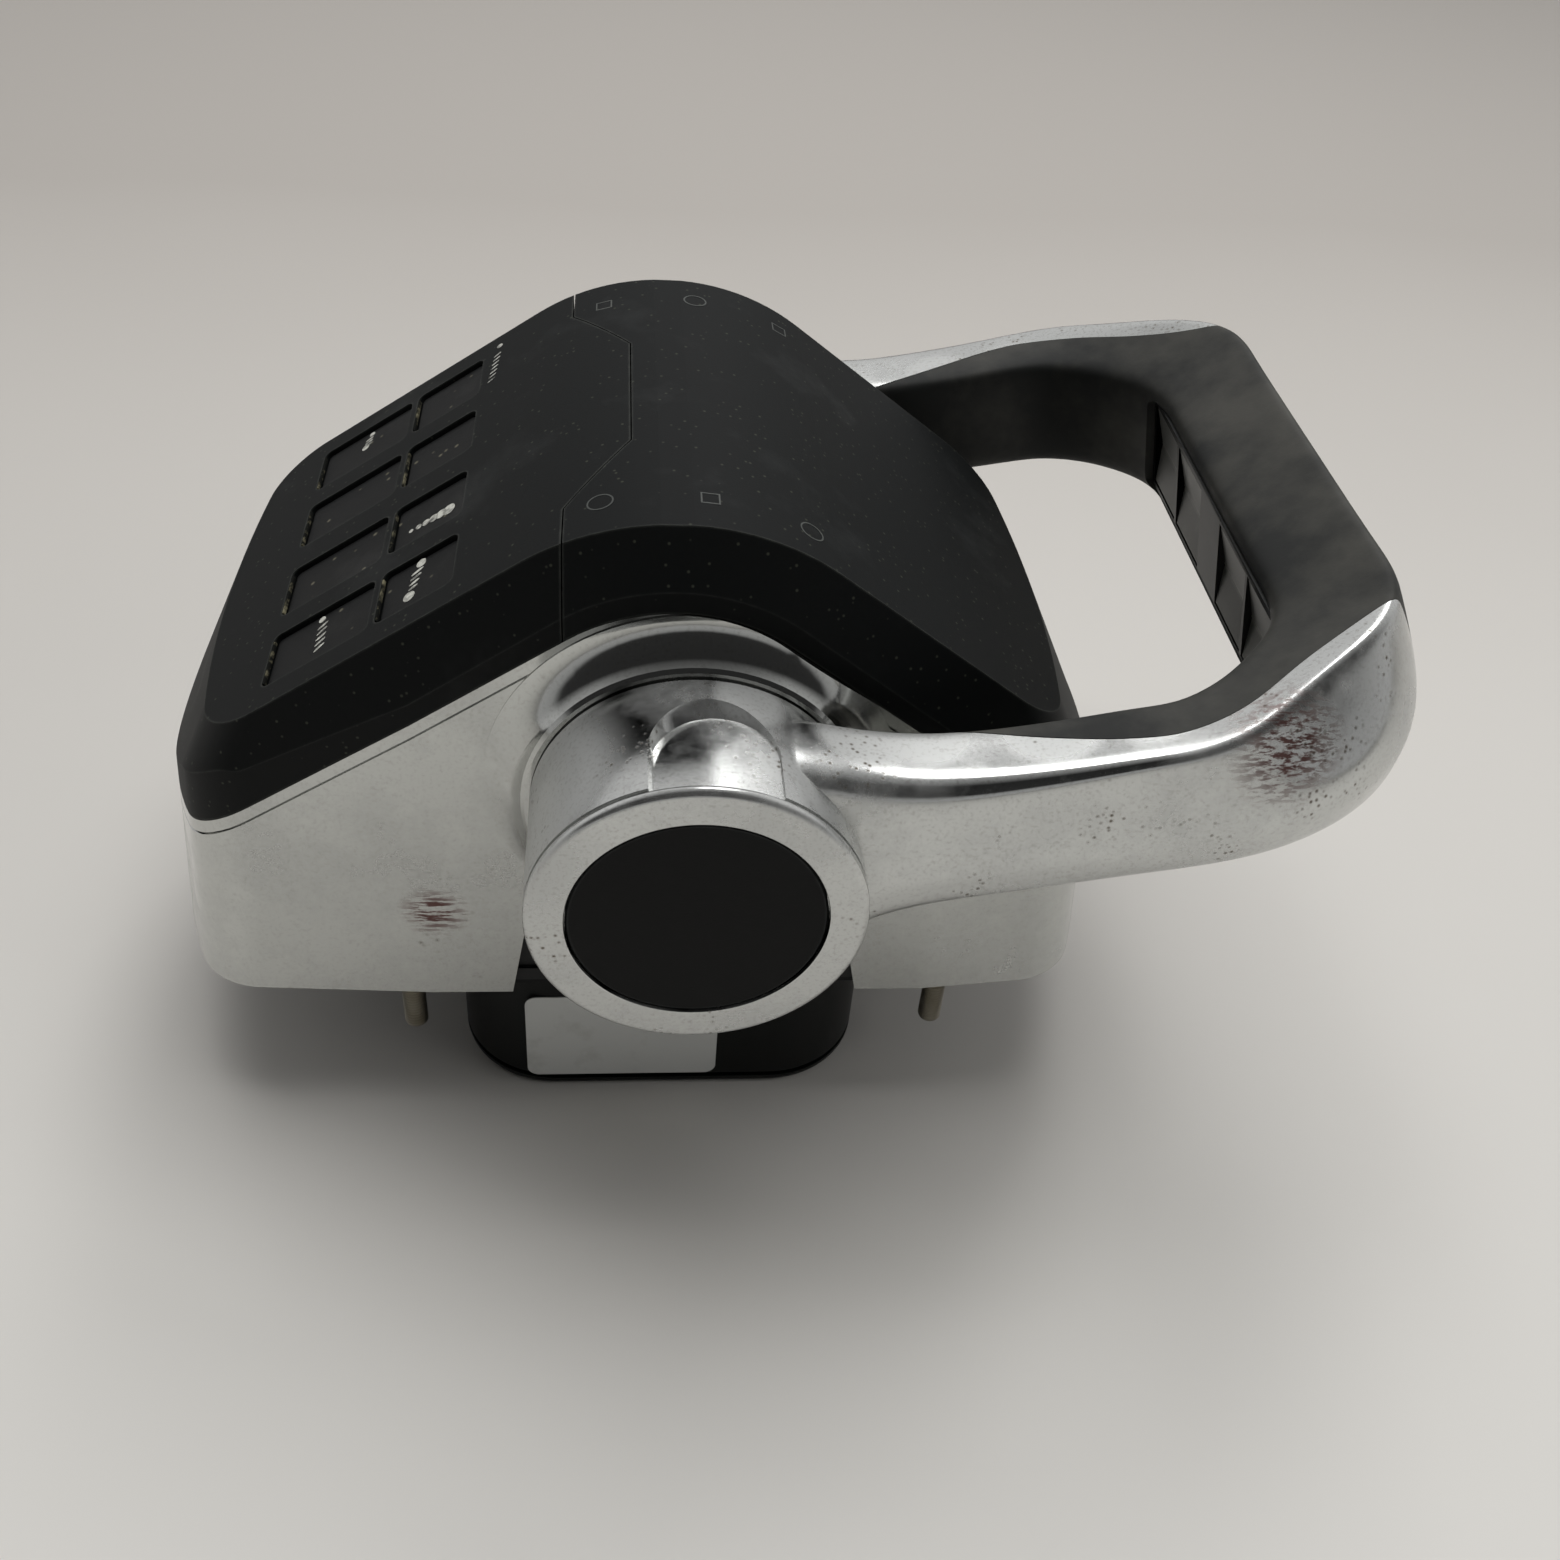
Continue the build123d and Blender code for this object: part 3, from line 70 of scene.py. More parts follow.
def add_node(tree: NodeTree, kind: str, settings: dict | None = None,
             links: dict | None = None) -> Node:
    """Add a node, set its properties and socket values, and link its inputs.

    Args:
        tree: node tree that gets the node.
        kind: Blender's node type name.
        settings: property or input name to value.
        links: input name or index to the output socket that feeds it.

    Returns:
        The new node.
    """
    node = tree.nodes.new(kind)
    for name, value in (settings or {}).items():
        if isinstance(name, str) and hasattr(node, name):
            setattr(node, name, value)
        else:
            node.inputs[name].default_value = value
    for name, source in (links or {}).items():
        tree.links.new(source, node.inputs[name])
    return node


def set_stops(node: Node, stops: Sequence[tuple[float, Colour]]) -> None:
    """Set the stops of a colour ramp node.

    Args:
        node: a colour ramp node.
        stops: positions and linear colours, in rising order.
    """
    ramp = node.color_ramp
    while len(ramp.elements) < len(stops):
        ramp.elements.new(0.5)
    for element, (position, colour) in zip(ramp.elements, stops):
        element.position = position
        element.color = colour


def grey(value: float) -> Colour:
    """Return a grey of that linear value."""
    return (value, value, value, 1.0)


def per_mm(size: float) -> float:
    """Return the pattern scale whose features are that many millimetres wide."""
    return 1 / (size * MM)


def new_material(name: str) -> tuple[Material, NodeTree, NodeSocket]:
    """Start an empty material.

    Args:
        name: name of the material.

    Returns:
        The material, its node tree and the socket of its object coordinates.
    """
    material = bpy.data.materials.new(name)
    material.use_nodes = True
    tree = material.node_tree
    tree.nodes.clear()
    return material, tree, add_node(tree, "ShaderNodeTexCoord").outputs["Object"]


class Body(Enum):
    """Bodies of the frame that pieces ride on."""

    CONSOLE = "console"
    LEVER = "lever"


# ------------------------------------------------------------------ mesh helpers
def everything(bm: BMesh) -> list:
    """Return every vertex, edge and face of a bmesh."""
    return bm.verts[:] + bm.edges[:] + bm.faces[:]


def round_edges(bm: BMesh, edges: Sequence[BMEdge], width: float, segments: int,
                clamp: bool = False) -> None:
    """Round edges to that width, in the units of the bmesh.

    Args:
        bm: the bmesh they are in.
        edges: the edges that are rounded.
        width: width of the rounding.
        segments: pieces across it.
        clamp: whether roundings may not run into each other.
    """
    bmesh.ops.bevel(bm, geom=edges, offset=width, segments=segments, profile=0.5, affect="EDGES", material=-1,
                    clamp_overlap=clamp)


def verts_of(geom: Sequence) -> list[BMVert]:
    """Return the vertices among mixed vertices, edges and faces."""
    return [g for g in geom if isinstance(g, BMVert)]


def raised(bm: BMesh, faces: Sequence[BMFace], height: float) -> None:
    """Draw faces up along Z by that height, as one closed solid.

    Args:
        bm: the bmesh they are in.
        faces: the faces that are drawn up.
        height: how far they rise.
    """
    grown = bmesh.ops.extrude_face_region(bm, geom=faces)["geom"]
    bmesh.ops.translate(bm, verts=verts_of(grown), vec=(0.0, 0.0, height))
    bmesh.ops.recalc_face_normals(bm, faces=bm.faces[:])


def wire(bm: BMesh, points: Sequence[tuple[float, float, float]]) -> list:
    """Draw an open run of edges through points and return its vertices and edges.

    Args:
        bm: the bmesh that gets them.
        points: points of the run in order.

    Returns:
        The new vertices and edges.
    """
    verts = [bm.verts.new(point) for point in points]
    return verts + [bm.edges.new(pair) for pair in zip(verts, verts[1:])]


def turned(bm: BMesh, points: Sequence[tuple[float, float, float]], axis: tuple[float, float, float],
           steps: int) -> None:
    """Turn an open run of points once round an axis through the origin.

    Args:
        bm: the bmesh that gets the shape.
        points: points of the run in order.
        axis: direction of the axis.
        steps: pieces round the full turn.
    """
    bmesh.ops.spin(bm, geom=wire(bm, points), cent=(0.0, 0.0, 0.0), axis=axis, angle=math.tau, steps=steps,
                   use_merge=True)
    bmesh.ops.remove_doubles(bm, verts=bm.verts[:], dist=0.001)


def linked(name: str, data: bpy.types.ID) -> Object:
    """Put data into the scene as a new object of that name.

    Args:
        name: name of the object.
        data: mesh, light or camera data.

    Returns:
        The new object.
    """
    piece = bpy.data.objects.new(name, data)
    bpy.context.scene.collection.objects.link(piece)
    return piece


def removed(piece: Object) -> None:
    """Remove an object and its mesh.

    Args:
        piece: the object; it is gone afterwards.
    """
    mesh = piece.data
    bpy.data.objects.remove(piece)
    bpy.data.meshes.remove(mesh)


def as_object(name: str, bm: BMesh) -> Object:
    """Turn a bmesh into an object of the scene and free it.

    Args:
        name: name of the object and its mesh.
        bm: the shape; it is freed.

    Returns:
        The new object.
    """
    mesh = bpy.data.meshes.new(name)
    bm.to_mesh(mesh)
    bm.free()
    return linked(name, mesh)


def baked(piece: Object) -> Mesh:
    """Return the mesh of an object with its modifiers applied, and remove the object.

    Args:
        piece: the object; it is gone afterwards.

    Returns:
        The mesh as its modifiers leave it.
    """
    graph = bpy.context.evaluated_depsgraph_get()
    mesh = bpy.data.meshes.new_from_object(piece.evaluated_get(graph))
    removed(piece)
    return mesh


def boolean(name: str, mesh: Mesh, tool: Object, operation: str) -> Mesh:
    """Combine a mesh with a tool object, which is used up.

    Args:
        name: name of the resulting mesh.
        mesh: the shape that is worked on; it stays as it is.
        tool: the object that cuts or joins it.
        operation: "UNION", "DIFFERENCE" or "INTERSECT".

    Returns:
        The new mesh.
    """
    piece = linked(name, mesh.copy())
    work = piece.modifiers.new("cut", "BOOLEAN")
    work.operation = operation
    work.solver = "EXACT"
    work.object = tool
    result = baked(piece)
    result.name = name
    removed(tool)
    return result


def smooth_run(points: Sequence[Vector], steps: int) -> list[Vector]:
    """Draw a smooth curve through a few points.

    Args:
        points: points that the curve passes through.
        steps: pieces between two points.

    Returns:
        Points along the curve.
    """
    slopes = [(b - a) / 2 for a, b in zip([points[0], *points[:-1]], [*points[1:], points[-1]])]
    run = [points[0].copy()]
    for (start, end), (leave, arrive) in zip(zip(points, points[1:]), zip(slopes, slopes[1:])):
        run += interpolate_bezier(start, start + leave / 3, end - arrive / 3, end, steps + 1)[1:]
    return run


def on_circle(edge: BMEdge, y: float, radius: float) -> bool:
    """Say whether an edge lies on the circle of that radius round the hub axis at that y."""
    return all(abs(v.co.y - y) < 0.01 and abs(math.hypot(v.co.x, v.co.z) - radius) < 0.05 for v in edge.verts)


def finish(name: str, mesh: Mesh, place: Matrix, material: Material, body: Body | str,
           stands_for: Sequence[str] = (), sharp: float = 32.0) -> None:
    """Place a finished mesh, dress it and hand it to the frame.

    Args:
        name: name of the piece.
        mesh: its shape.
        place: matrix from the shape's own millimetres to the world in metres.
        material: its finish.
        body: body that it rides on.
        stands_for: nodes that it replaces.
        sharp: edges turned by more than this many degrees stay sharp.
    """
    mesh.transform(place)
    mesh.name = name
    mesh.materials.clear()
    mesh.materials.append(material)
    mesh.polygons.foreach_set("use_smooth", [True] * len(mesh.polygons))
    mesh.set_sharp_from_angle(angle=math.radians(sharp))
    mesh.update()
    piece = linked(name, mesh)
    weighted = piece.modifiers.new("weighted_normals", "WEIGHTED_NORMAL")
    weighted.keep_sharp = True
    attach(piece, body.value if isinstance(body, Body) else body)
    if stands_for:
        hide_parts(*stands_for)
    LOG.info("piece %s: %d faces, rides %s", name, len(mesh.polygons), body)


# ------------------------------------------------------------------ finishes
@dataclass(frozen=True)
class PlatedChrome:
    """Nickel-chrome plate over a polished die casting: mirror bright with salt haze and pits."""

    name: str
    colour: str = "#c4c5c3"
    clean: float = 0.07
    haze: float = 0.24
    haze_mm: float = 30.0
    pit_mm: float = 2.4
    pit_share: float = 0.5
    pit_zone_mm: float = 18.0
    grime: str = "#655d52"
    film: float = 0.42
    scuff_at: tuple[float, float, float] | None = None
    scuff_size: float = 0.015
    scuff_colour: str = "#6e5350"
    dulled: tuple[Patch, ...] = ()
    polished: tuple[Patch, ...] = ()
    speckle: float = 0.22
    speck_mm: float = 0.8
    wave_mm: float = 7.0
    wipe_stretch: tuple[float, float, float] = (40.0, 400.0, 400.0)

    def material(self) -> Material:
        """Build the material.

        Returns:
            The finished material.
        """
        mat, tree, place = new_material(self.name)
        # haze: broad cloudy patches where the plate has dulled
        cloud = add_node(tree, "ShaderNodeTexNoise", {"Scale": per_mm(self.haze_mm), "Detail": 6.0, "Roughness": 0.62},
                         {"Vector": place})
        cloud_mask = add_node(tree, "ShaderNodeMapRange",
                              {"From Min": 0.42, "From Max": 0.72},
                              {"Value": cloud.outputs["Fac"]})
        # wiping marks: fine streaks 0.4 mm wide and tens of millimetres long
        streak_place = add_node(tree, "ShaderNodeMapping", {"Scale": self.wipe_stretch}, {"Vector": place})
        streak = add_node(tree, "ShaderNodeTexNoise", {"Scale": 6.0, "Detail": 3.0},
                          {"Vector": streak_place.outputs["Vector"]})
        # pits: small corroded spots on a grid of a few millimetres, only some cells hold one
        cells = add_node(tree, "ShaderNodeTexVoronoi", {"Scale": per_mm(self.pit_mm)},
                         {"Vector": place})
        spot = add_node(tree, "ShaderNodeMapRange",
                        {"From Min": 0.06, "From Max": 0.34, "To Min": 1.0, "To Max": 0.0},
                        {"Value": cells.outputs["Distance"]})
        zone = add_node(tree, "ShaderNodeTexNoise", {"Scale": per_mm(self.pit_zone_mm), "Detail": 3.0},
                        {"Vector": place})
        zone_mask = add_node(tree, "ShaderNodeMapRange",
                             {"From Min": 0.66 - 0.22 * self.pit_share, "From Max": 0.80 - 0.22 * self.pit_share},
                             {"Value": zone.outputs["Fac"]})
        pits = add_node(tree, "ShaderNodeMath", {"operation": "MULTIPLY"},
                        {0: spot.outputs["Result"], 1: zone_mask.outputs["Result"]})
        dull = cloud_mask.outputs["Result"]
        for centre, radius in self.dulled:
            dull = self._patch(tree, place, dull, centre, radius, "MAXIMUM", 1.0)
        for centre, radius in self.polished:
            dull = self._patch(tree, place, dull, centre, radius, "MINIMUM", 0.0)
        rough = add_node(tree, "ShaderNodeMapRange", {"To Min": self.clean, "To Max": self.haze},
                         {"Value": dull})
        rough_streak = add_node(tree, "ShaderNodeMath", {"operation": "MULTIPLY_ADD", 1: 0.05},
                                {0: streak.outputs["Fac"], 2: rough.outputs["Result"]})
        rough_pit = add_node(tree, "ShaderNodeMath", {"operation": "MULTIPLY_ADD", 1: 0.35, "use_clamp": True},
                             {0: pits.outputs["Value"], 2: rough_streak.outputs["Value"]})
        # salt speckle: fine dark grains all over, under a millimetre
        grains = add_node(tree, "ShaderNodeTexNoise", {"Scale": per_mm(self.speck_mm), "Detail": 2.0},
                          {"Vector": place})
        specks = add_node(tree, "ShaderNodeMapRange",
                          {"From Min": 0.52, "From Max": 0.72, "To Min": 0.0, "To Max": self.speckle},
                          {"Value": grains.outputs["Fac"]})
        dirt = add_node(tree, "ShaderNodeMath", {"operation": "MAXIMUM"},
                        {0: pits.outputs["Value"], 1: specks.outputs["Result"]})
        base = add_node(tree, "ShaderNodeMix",
                        {"data_type": "RGBA", 6: linear(self.colour), 7: linear(self.grime)},
                        {0: dirt.outputs["Value"]})
        colour_out = base.outputs[2]
        rough_out = rough_pit.outputs["Value"]
        if self.scuff_at is not None:
            colour_out, rough_out = self._scuff(tree, place, colour_out, rough_out)
        bump = add_node(tree, "ShaderNodeBump", {"Strength": 0.25, "Distance": 0.00006, "invert": True},
                        {"Height": pits.outputs["Value"]})
        peel = add_node(tree, "ShaderNodeTexNoise", {"Scale": per_mm(self.wave_mm), "Detail": 1.0}, {"Vector": place})
        soft = add_node(tree, "ShaderNodeBump", {"Strength": 0.10, "Distance": 0.00012},
                        {"Height": peel.outputs["Fac"], "Normal": bump.outputs["Normal"]})
        # a pale film of dried salt scatters light where the plate is dull
        bare = add_node(tree, "ShaderNodeMapRange", {"To Min": 1.0, "To Max": 1.0 - self.film}, {"Value": dull})
        shader = add_node(tree, "ShaderNodeBsdfPrincipled",
                          links={"Base Color": colour_out, "Roughness": rough_out, "Normal": soft.outputs["Normal"],
                                 "Metallic": bare.outputs["Result"]})
        add_node(tree, "ShaderNodeOutputMaterial", links={"Surface": shader.outputs["BSDF"]})
        return mat

    def _patch(self, tree: NodeTree, place: NodeSocket, dull: NodeSocket,
               centre: tuple[float, float, float], radius: float, operation: str,
               inner: float) -> NodeSocket:
        """Dull the plate where salt has lain, or keep it bright: a soft-edged patch round one place.

        Args:
            tree: the material's nodes.
            place: object coordinates.
            dull: how dull the plate is before, from 0 to 1.
            centre: middle of the patch in metres.
            radius: reach of the patch in metres.
            operation: "MAXIMUM" for a dull patch, "MINIMUM" for a bright one.
            inner: dullness in the middle of the patch.

        Returns:
            Socket of the dullness with the patch.
        """
        away = add_node(tree, "ShaderNodeVectorMath", {"operation": "DISTANCE", 1: centre}, {0: place})
        inside = add_node(tree, "ShaderNodeMapRange",
                          {"interpolation_type": "SMOOTHSTEP", "From Min": radius, "From Max": radius * 0.55,
                           "To Min": 1.0 - inner, "To Max": inner},
                          {"Value": away.outputs["Value"]})
        both = add_node(tree, "ShaderNodeMath", {"operation": operation}, {0: dull, 1: inside.outputs["Result"]})
        return both.outputs["Value"]

    def _scuff(self, tree: NodeTree, place: NodeSocket, colour: NodeSocket,
               rough: NodeSocket) -> tuple[NodeSocket, NodeSocket]:
        """Rub a reddish paint scuff into one spot of the plate.

        Args:
            tree: the material's nodes.
            place: object coordinates.
            colour: colour before the scuff.
            rough: roughness before the scuff.

        Returns:
            Colour and roughness sockets with the scuff.
        """
        away = add_node(tree, "ShaderNodeVectorMath", {"operation": "DISTANCE", 1: self.scuff_at}, {0: place})
        near = add_node(tree, "ShaderNodeMapRange",
                        {"From Min": self.scuff_size * 0.35, "From Max": self.scuff_size, "To Min": 1.0, "To Max": 0.0},
                        {"Value": away.outputs["Value"]})
        lines = add_node(tree, "ShaderNodeMapping", {"Rotation": (0.0, 0.5, 0.35), "Scale": (60.0, 420.0, 420.0)},
                         {"Vector": place})
        torn = add_node(tree, "ShaderNodeTexNoise", {"Scale": 2.6, "Detail": 4.0, "Roughness": 0.7},
                        {"Vector": lines.outputs["Vector"]})
        edge = add_node(tree, "ShaderNodeMapRange", {"From Min": 0.46, "From Max": 0.56},
                        {"Value": torn.outputs["Fac"]})
        mask = add_node(tree, "ShaderNodeMath", {"operation": "MULTIPLY"},
                        {0: near.outputs["Result"], 1: edge.outputs["Result"]})
        tinted = add_node(tree, "ShaderNodeMix", {"data_type": "RGBA", 7: linear(self.scuff_colour)},
                          {0: mask.outputs["Value"], 6: colour})
        dull = add_node(tree, "ShaderNodeMath", {"operation": "MULTIPLY_ADD", 1: 0.45, "use_clamp": True},
                        {0: mask.outputs["Value"], 2: rough})
        return tinted.outputs[2], dull.outputs["Value"]


@dataclass(frozen=True)
class MouldedPolymer:
    """Injection-moulded thermoplastic or rubber: spark-eroded grain, dust and rubbed edges."""

    name: str
    colour: str
    worn: str
    rough: float = 0.5
    rough_worn: float = 0.38
    grain_mm: float = 0.5
    grain_depth: float = 0.00003
    patch_mm: float = 35.0
    patch_share: float = 0.4
    edge_mm: float = 0.8
    edge_colour: str | None = None
    ragged_mm: float = 3.0
    fleck: str | None = None
    fleck_mm: float = 1.2
    specular: float = 0.4
    coat: float = 0.0

    def material(self) -> Material:
        """Build the material.

        Returns:
            The finished material.
        """
        mat, tree, place = new_material(self.name)
        patch = add_node(tree, "ShaderNodeTexNoise",
                         {"Scale": per_mm(self.patch_mm), "Detail": 7.0, "Roughness": 0.6}, {"Vector": place})
        worn = add_node(tree, "ShaderNodeMapRange",
                        {"From Min": 0.72 - 0.4 * self.patch_share, "From Max": 0.86 - 0.3 * self.patch_share},
                        {"Value": patch.outputs["Fac"]})
        base = add_node(tree, "ShaderNodeMix",
                        {"data_type": "RGBA", 6: linear(self.colour), 7: linear(self.worn)},
                        {0: worn.outputs["Result"]})
        colour = base.outputs[2]
        grain = add_node(tree, "ShaderNodeTexNoise", {"Scale": per_mm(self.grain_mm), "Detail": 2.0},
                         {"Vector": place})
        if self.fleck is not None:
            cells = add_node(tree, "ShaderNodeTexVoronoi", {"Scale": per_mm(self.fleck_mm)}, {"Vector": place})
            dot = add_node(tree, "ShaderNodeMapRange",
                           {"From Min": 0.10, "From Max": 0.22, "To Min": 1.0, "To Max": 0.0},
                           {"Value": cells.outputs["Distance"]})
            few = add_node(tree, "ShaderNodeMath", {"operation": "GREATER_THAN", 1: 0.62},
                           {0: cells.outputs["Color"]})
            flecks = add_node(tree, "ShaderNodeMath", {"operation": "MULTIPLY"},
                              {0: dot.outputs["Result"], 1: few.outputs["Value"]})
            dusted = add_node(tree, "ShaderNodeMix", {"data_type": "RGBA", 7: linear(self.fleck)},
                              {0: flecks.outputs["Value"], 6: colour})
            colour = dusted.outputs[2]
        if self.edge_colour is not None:
            colour = self._edges(tree, place, colour)
        rough = add_node(tree, "ShaderNodeMapRange", {"To Min": self.rough, "To Max": self.rough_worn},
                         {"Value": worn.outputs["Result"]})
        bump = add_node(tree, "ShaderNodeBump", {"Strength": 0.6, "Distance": self.grain_depth},
                        {"Height": grain.outputs["Fac"]})
        shader = add_node(tree, "ShaderNodeBsdfPrincipled",
                          {"Specular IOR Level": self.specular, "Coat Weight": self.coat, "Coat Roughness": 0.12},
                          {"Base Color": colour, "Roughness": rough.outputs["Result"],
                           "Normal": bump.outputs["Normal"]})
        add_node(tree, "ShaderNodeOutputMaterial", links={"Surface": shader.outputs["BSDF"]})
        return mat

    def _edges(self, tree: NodeTree, place: NodeSocket,
               colour: NodeSocket) -> NodeSocket:
        """Lighten the rubbed edges: where a rounded normal leaves the true one.

        Args:
            tree: the material's nodes.
            place: object coordinates.
            colour: colour before the wear.

        Returns:
            Colour socket with worn edges.
        """
        round_off = add_node(tree, "ShaderNodeBevel", {"samples": 4, "Radius": self.edge_mm * MM})
        true = add_node(tree, "ShaderNodeNewGeometry")
        same = add_node(tree, "ShaderNodeVectorMath", {"operation": "DOT_PRODUCT"},
                        {0: round_off.outputs["Normal"], 1: true.outputs["Normal"]})
        mask = add_node(tree, "ShaderNodeMapRange",
                        {"From Min": 0.994, "From Max": 0.955},
                        {"Value": same.outputs["Value"]})
        ragged = add_node(tree, "ShaderNodeTexNoise", {"Scale": per_mm(self.ragged_mm), "Detail": 4.0},
                          {"Vector": place})
        some = add_node(tree, "ShaderNodeMath", {"operation": "MULTIPLY"},
                        {0: mask.outputs["Result"], 1: ragged.outputs["Fac"]})
        mixed = add_node(tree, "ShaderNodeMix", {"data_type": "RGBA", 7: linear(self.edge_colour)},
                         {0: some.outputs["Value"], 6: colour})
        return mixed.outputs[2]


@dataclass(frozen=True)
class TurnedMetal:
    """Turned or ground bare metal: fine tool marks and a little tarnish."""

    name: str
    colour: str
    tarnish: str
    rough: float = 0.3
    spot_mm: float = 6.0
    tool_stretch: tuple[float, float, float] = (300.0, 2600.0, 300.0)

    def material(self) -> Material:
        """Build the material.

        Returns:
            The finished material.
        """
        mat, tree, place = new_material(self.name)
        spots = add_node(tree, "ShaderNodeTexNoise", {"Scale": per_mm(self.spot_mm), "Detail": 6.0}, {"Vector": place})
        tint = add_node(tree, "ShaderNodeMix",
                        {"data_type": "RGBA", 6: linear(self.colour), 7: linear(self.tarnish)},
                        {0: spots.outputs["Fac"]})
        marks_at = add_node(tree, "ShaderNodeMapping", {"Scale": self.tool_stretch}, {"Vector": place})
        marks = add_node(tree, "ShaderNodeTexNoise", {"Scale": 1.0, "Detail": 2.0},
                         {"Vector": marks_at.outputs["Vector"]})
        rough = add_node(tree, "ShaderNodeMapRange", {"To Min": self.rough * 0.7, "To Max": self.rough * 1.4},
                         {"Value": spots.outputs["Fac"]})
        bump = add_node(tree, "ShaderNodeBump", {"Strength": 0.3, "Distance": 0.00002},
                        {"Height": marks.outputs["Fac"]})
        shader = add_node(tree, "ShaderNodeBsdfPrincipled", {"Metallic": 1.0},
                          {"Base Color": tint.outputs[2], "Roughness": rough.outputs["Result"],
                           "Normal": bump.outputs["Normal"]})
        add_node(tree, "ShaderNodeOutputMaterial", links={"Surface": shader.outputs["BSDF"]})
        return mat


class Palette:
    """Every finish of the throttle, each made once."""

    def __init__(self) -> None:
        """Make the materials."""
        # drum sides, top face of the arms and the ring are dull with salt, the ridge and the saddle still bright
        drum_and_arm = tuple(((x, side * y, z), radius) for side in (-1, 1) for x, y, z, radius in (
            (-0.035, 0.088, 0.084, 0.029), (0.012, 0.076, 0.105, 0.013), (0.034, 0.079, 0.092, 0.014),
            (0.046, 0.076, 0.096, 0.015), (0.072, 0.079, 0.100, 0.014), (0.093, 0.079, 0.104, 0.013)))
        self.arm_chrome = PlatedChrome(
            "chrome_plate_polished_arm", clean=0.09, haze=0.36, pit_mm=1.7, pit_share=0.75,
            scuff_at=(0.1184, -0.0914, 0.1023), dulled=drum_and_arm).material()
        # the shells are greyer and hazier, but the cove round the hub is still mirror bright
        self.shell_chrome = PlatedChrome(
            "chrome_plate_hazed_shell", colour="#bfc0bd", clean=0.075, haze=0.32, pit_share=0.2,
            scuff_at=(-0.0583, -0.0643, 0.0278), scuff_size=0.009, speckle=0.16,
            polished=tuple(((0.0, side * 0.068, 0.092), 0.058) for side in (-1, 1))).material()
        # ABS cover, fine spark-eroded grain, lightly greyed by sun and handling
        self.cover = MouldedPolymer(
            "abs_cover_moulded", "#0d0f0f", "#191b1b", rough=0.60, rough_worn=0.50, grain_mm=0.45, specular=0.14,
            edge_colour="#454743", fleck="#383a32", fleck_mm=1.9).material()
        # raised marks of the same moulding, given a lighter grey than the cover as painted highlight on their rims
        # the worn colour makes them a little greyer still where fingers rub them
        self.mark_highlight = MouldedPolymer("abs_mark_rubbed_painted_highlight", "#3c3f3c", "#5a5c55").material()
        # soft-touch elastomer, rubbed grey-brown where hands rest
        self.grip = MouldedPolymer(
            "elastomer_grip_overmoulded", "#222322", "#3d3c37", rough=0.62, rough_worn=0.5, grain_mm=0.7,
            patch_mm=40.0, patch_share=0.75, specular=0.3).material()
        # blackest of the front: silicone that shows dust as pale flecks
        self.key = MouldedPolymer(
            "silicone_keys_moulded", "#080909", "#121312", specular=0.16, grain_mm=0.4, fleck="#5d5a4c",
            fleck_mm=3.4).material()
        # mid grey against the black bezel, rubbed pale at its ridges
        self.rocker = MouldedPolymer(
            "abs_rocker_satin", "#3c3d39", "#4b4c47", rough=0.42, rough_worn=0.36, edge_colour="#6a6a64").material()
        self.bezel = MouldedPolymer("abs_bezel_moulded", "#0c0d0c", "#151615", rough=0.4, specular=0.25).material()
        self.cap = MouldedPolymer(
            "abs_cap_satin", "#050606", "#0b0c0c", rough=0.36, rough_worn=0.42, specular=0.12,
            edge_colour="#3d3f3f", patch_mm=22.0).material()
        self.housing = MouldedPolymer(
            "nylon_housing_satin", "#060807", "#0c0e0d", rough=0.38, grain_mm=0.6, edge_colour="#262a28",
            specular=0.2).material()
        self.frame = MouldedPolymer(
            "glass_nylon_frame_moulded", "#0d0e0e", "#1a1b1b", rough=0.55, grain_mm=0.8).material()
        # bare metals of the inner parts
        self.steel = TurnedMetal("stainless_steel_turned", "#b9b7b0", "#7d7666").material()
        # bare rolled threads, with painted light: a lighter copy of the steel lifts the studs, which hang in shade
        self.stud = TurnedMetal("stainless_stud_rolled_painted_light", "#d8d5cc", "#a59c88", rough=0.42).material()
        self.bronze = TurnedMetal("bronze_bush_sintered", "#b08548", "#6d4d25", rough=0.45).material()
        self.casting = TurnedMetal("aluminium_core_die_cast", "#a5a7a8", "#83868a", rough=0.5).material()
        self.magnet = TurnedMetal("ferrite_magnet_sintered", "#4a4b4e", "#2c2c2e", rough=0.55).material()
        self.board = MouldedPolymer(
            "epoxy_board_solder_masked", "#0f4a2a", "#0b3a20", rough=0.3, grain_mm=1.2, fleck="#b59a4c",
            fleck_mm=2.2, coat=0.4).material()
        self.silicone = MouldedPolymer("silicone_mat_moulded", "#5b5d5c", "#6d6f6d", rough=0.6).material()
        self.foam = MouldedPolymer(
            "eva_foam_gasket_cut", "#111212", "#1b1c1b", rough=0.9, grain_mm=0.6, grain_depth=0.0001).material()
        self.lining = MouldedPolymer("phenolic_brake_lining_pressed", "#3d3228", "#54463a", rough=0.8).material()
        # remains of white pad printing, nearly rubbed away
        self.print = MouldedPolymer(
            "pad_print_white_worn", "#c9c9c0", "#5a5a55", rough=0.6, grain_mm=0.8, patch_mm=2.2,
            patch_share=0.7).material()
        # salt and skin dust packed into the seams of the keys
        self.dust = MouldedPolymer(
            "dust_packed_in_seam", "#141513", "#77725c", rough=0.9, grain_depth=0.0001, patch_mm=4.0,
            patch_share=0.62, specular=0.1).material()
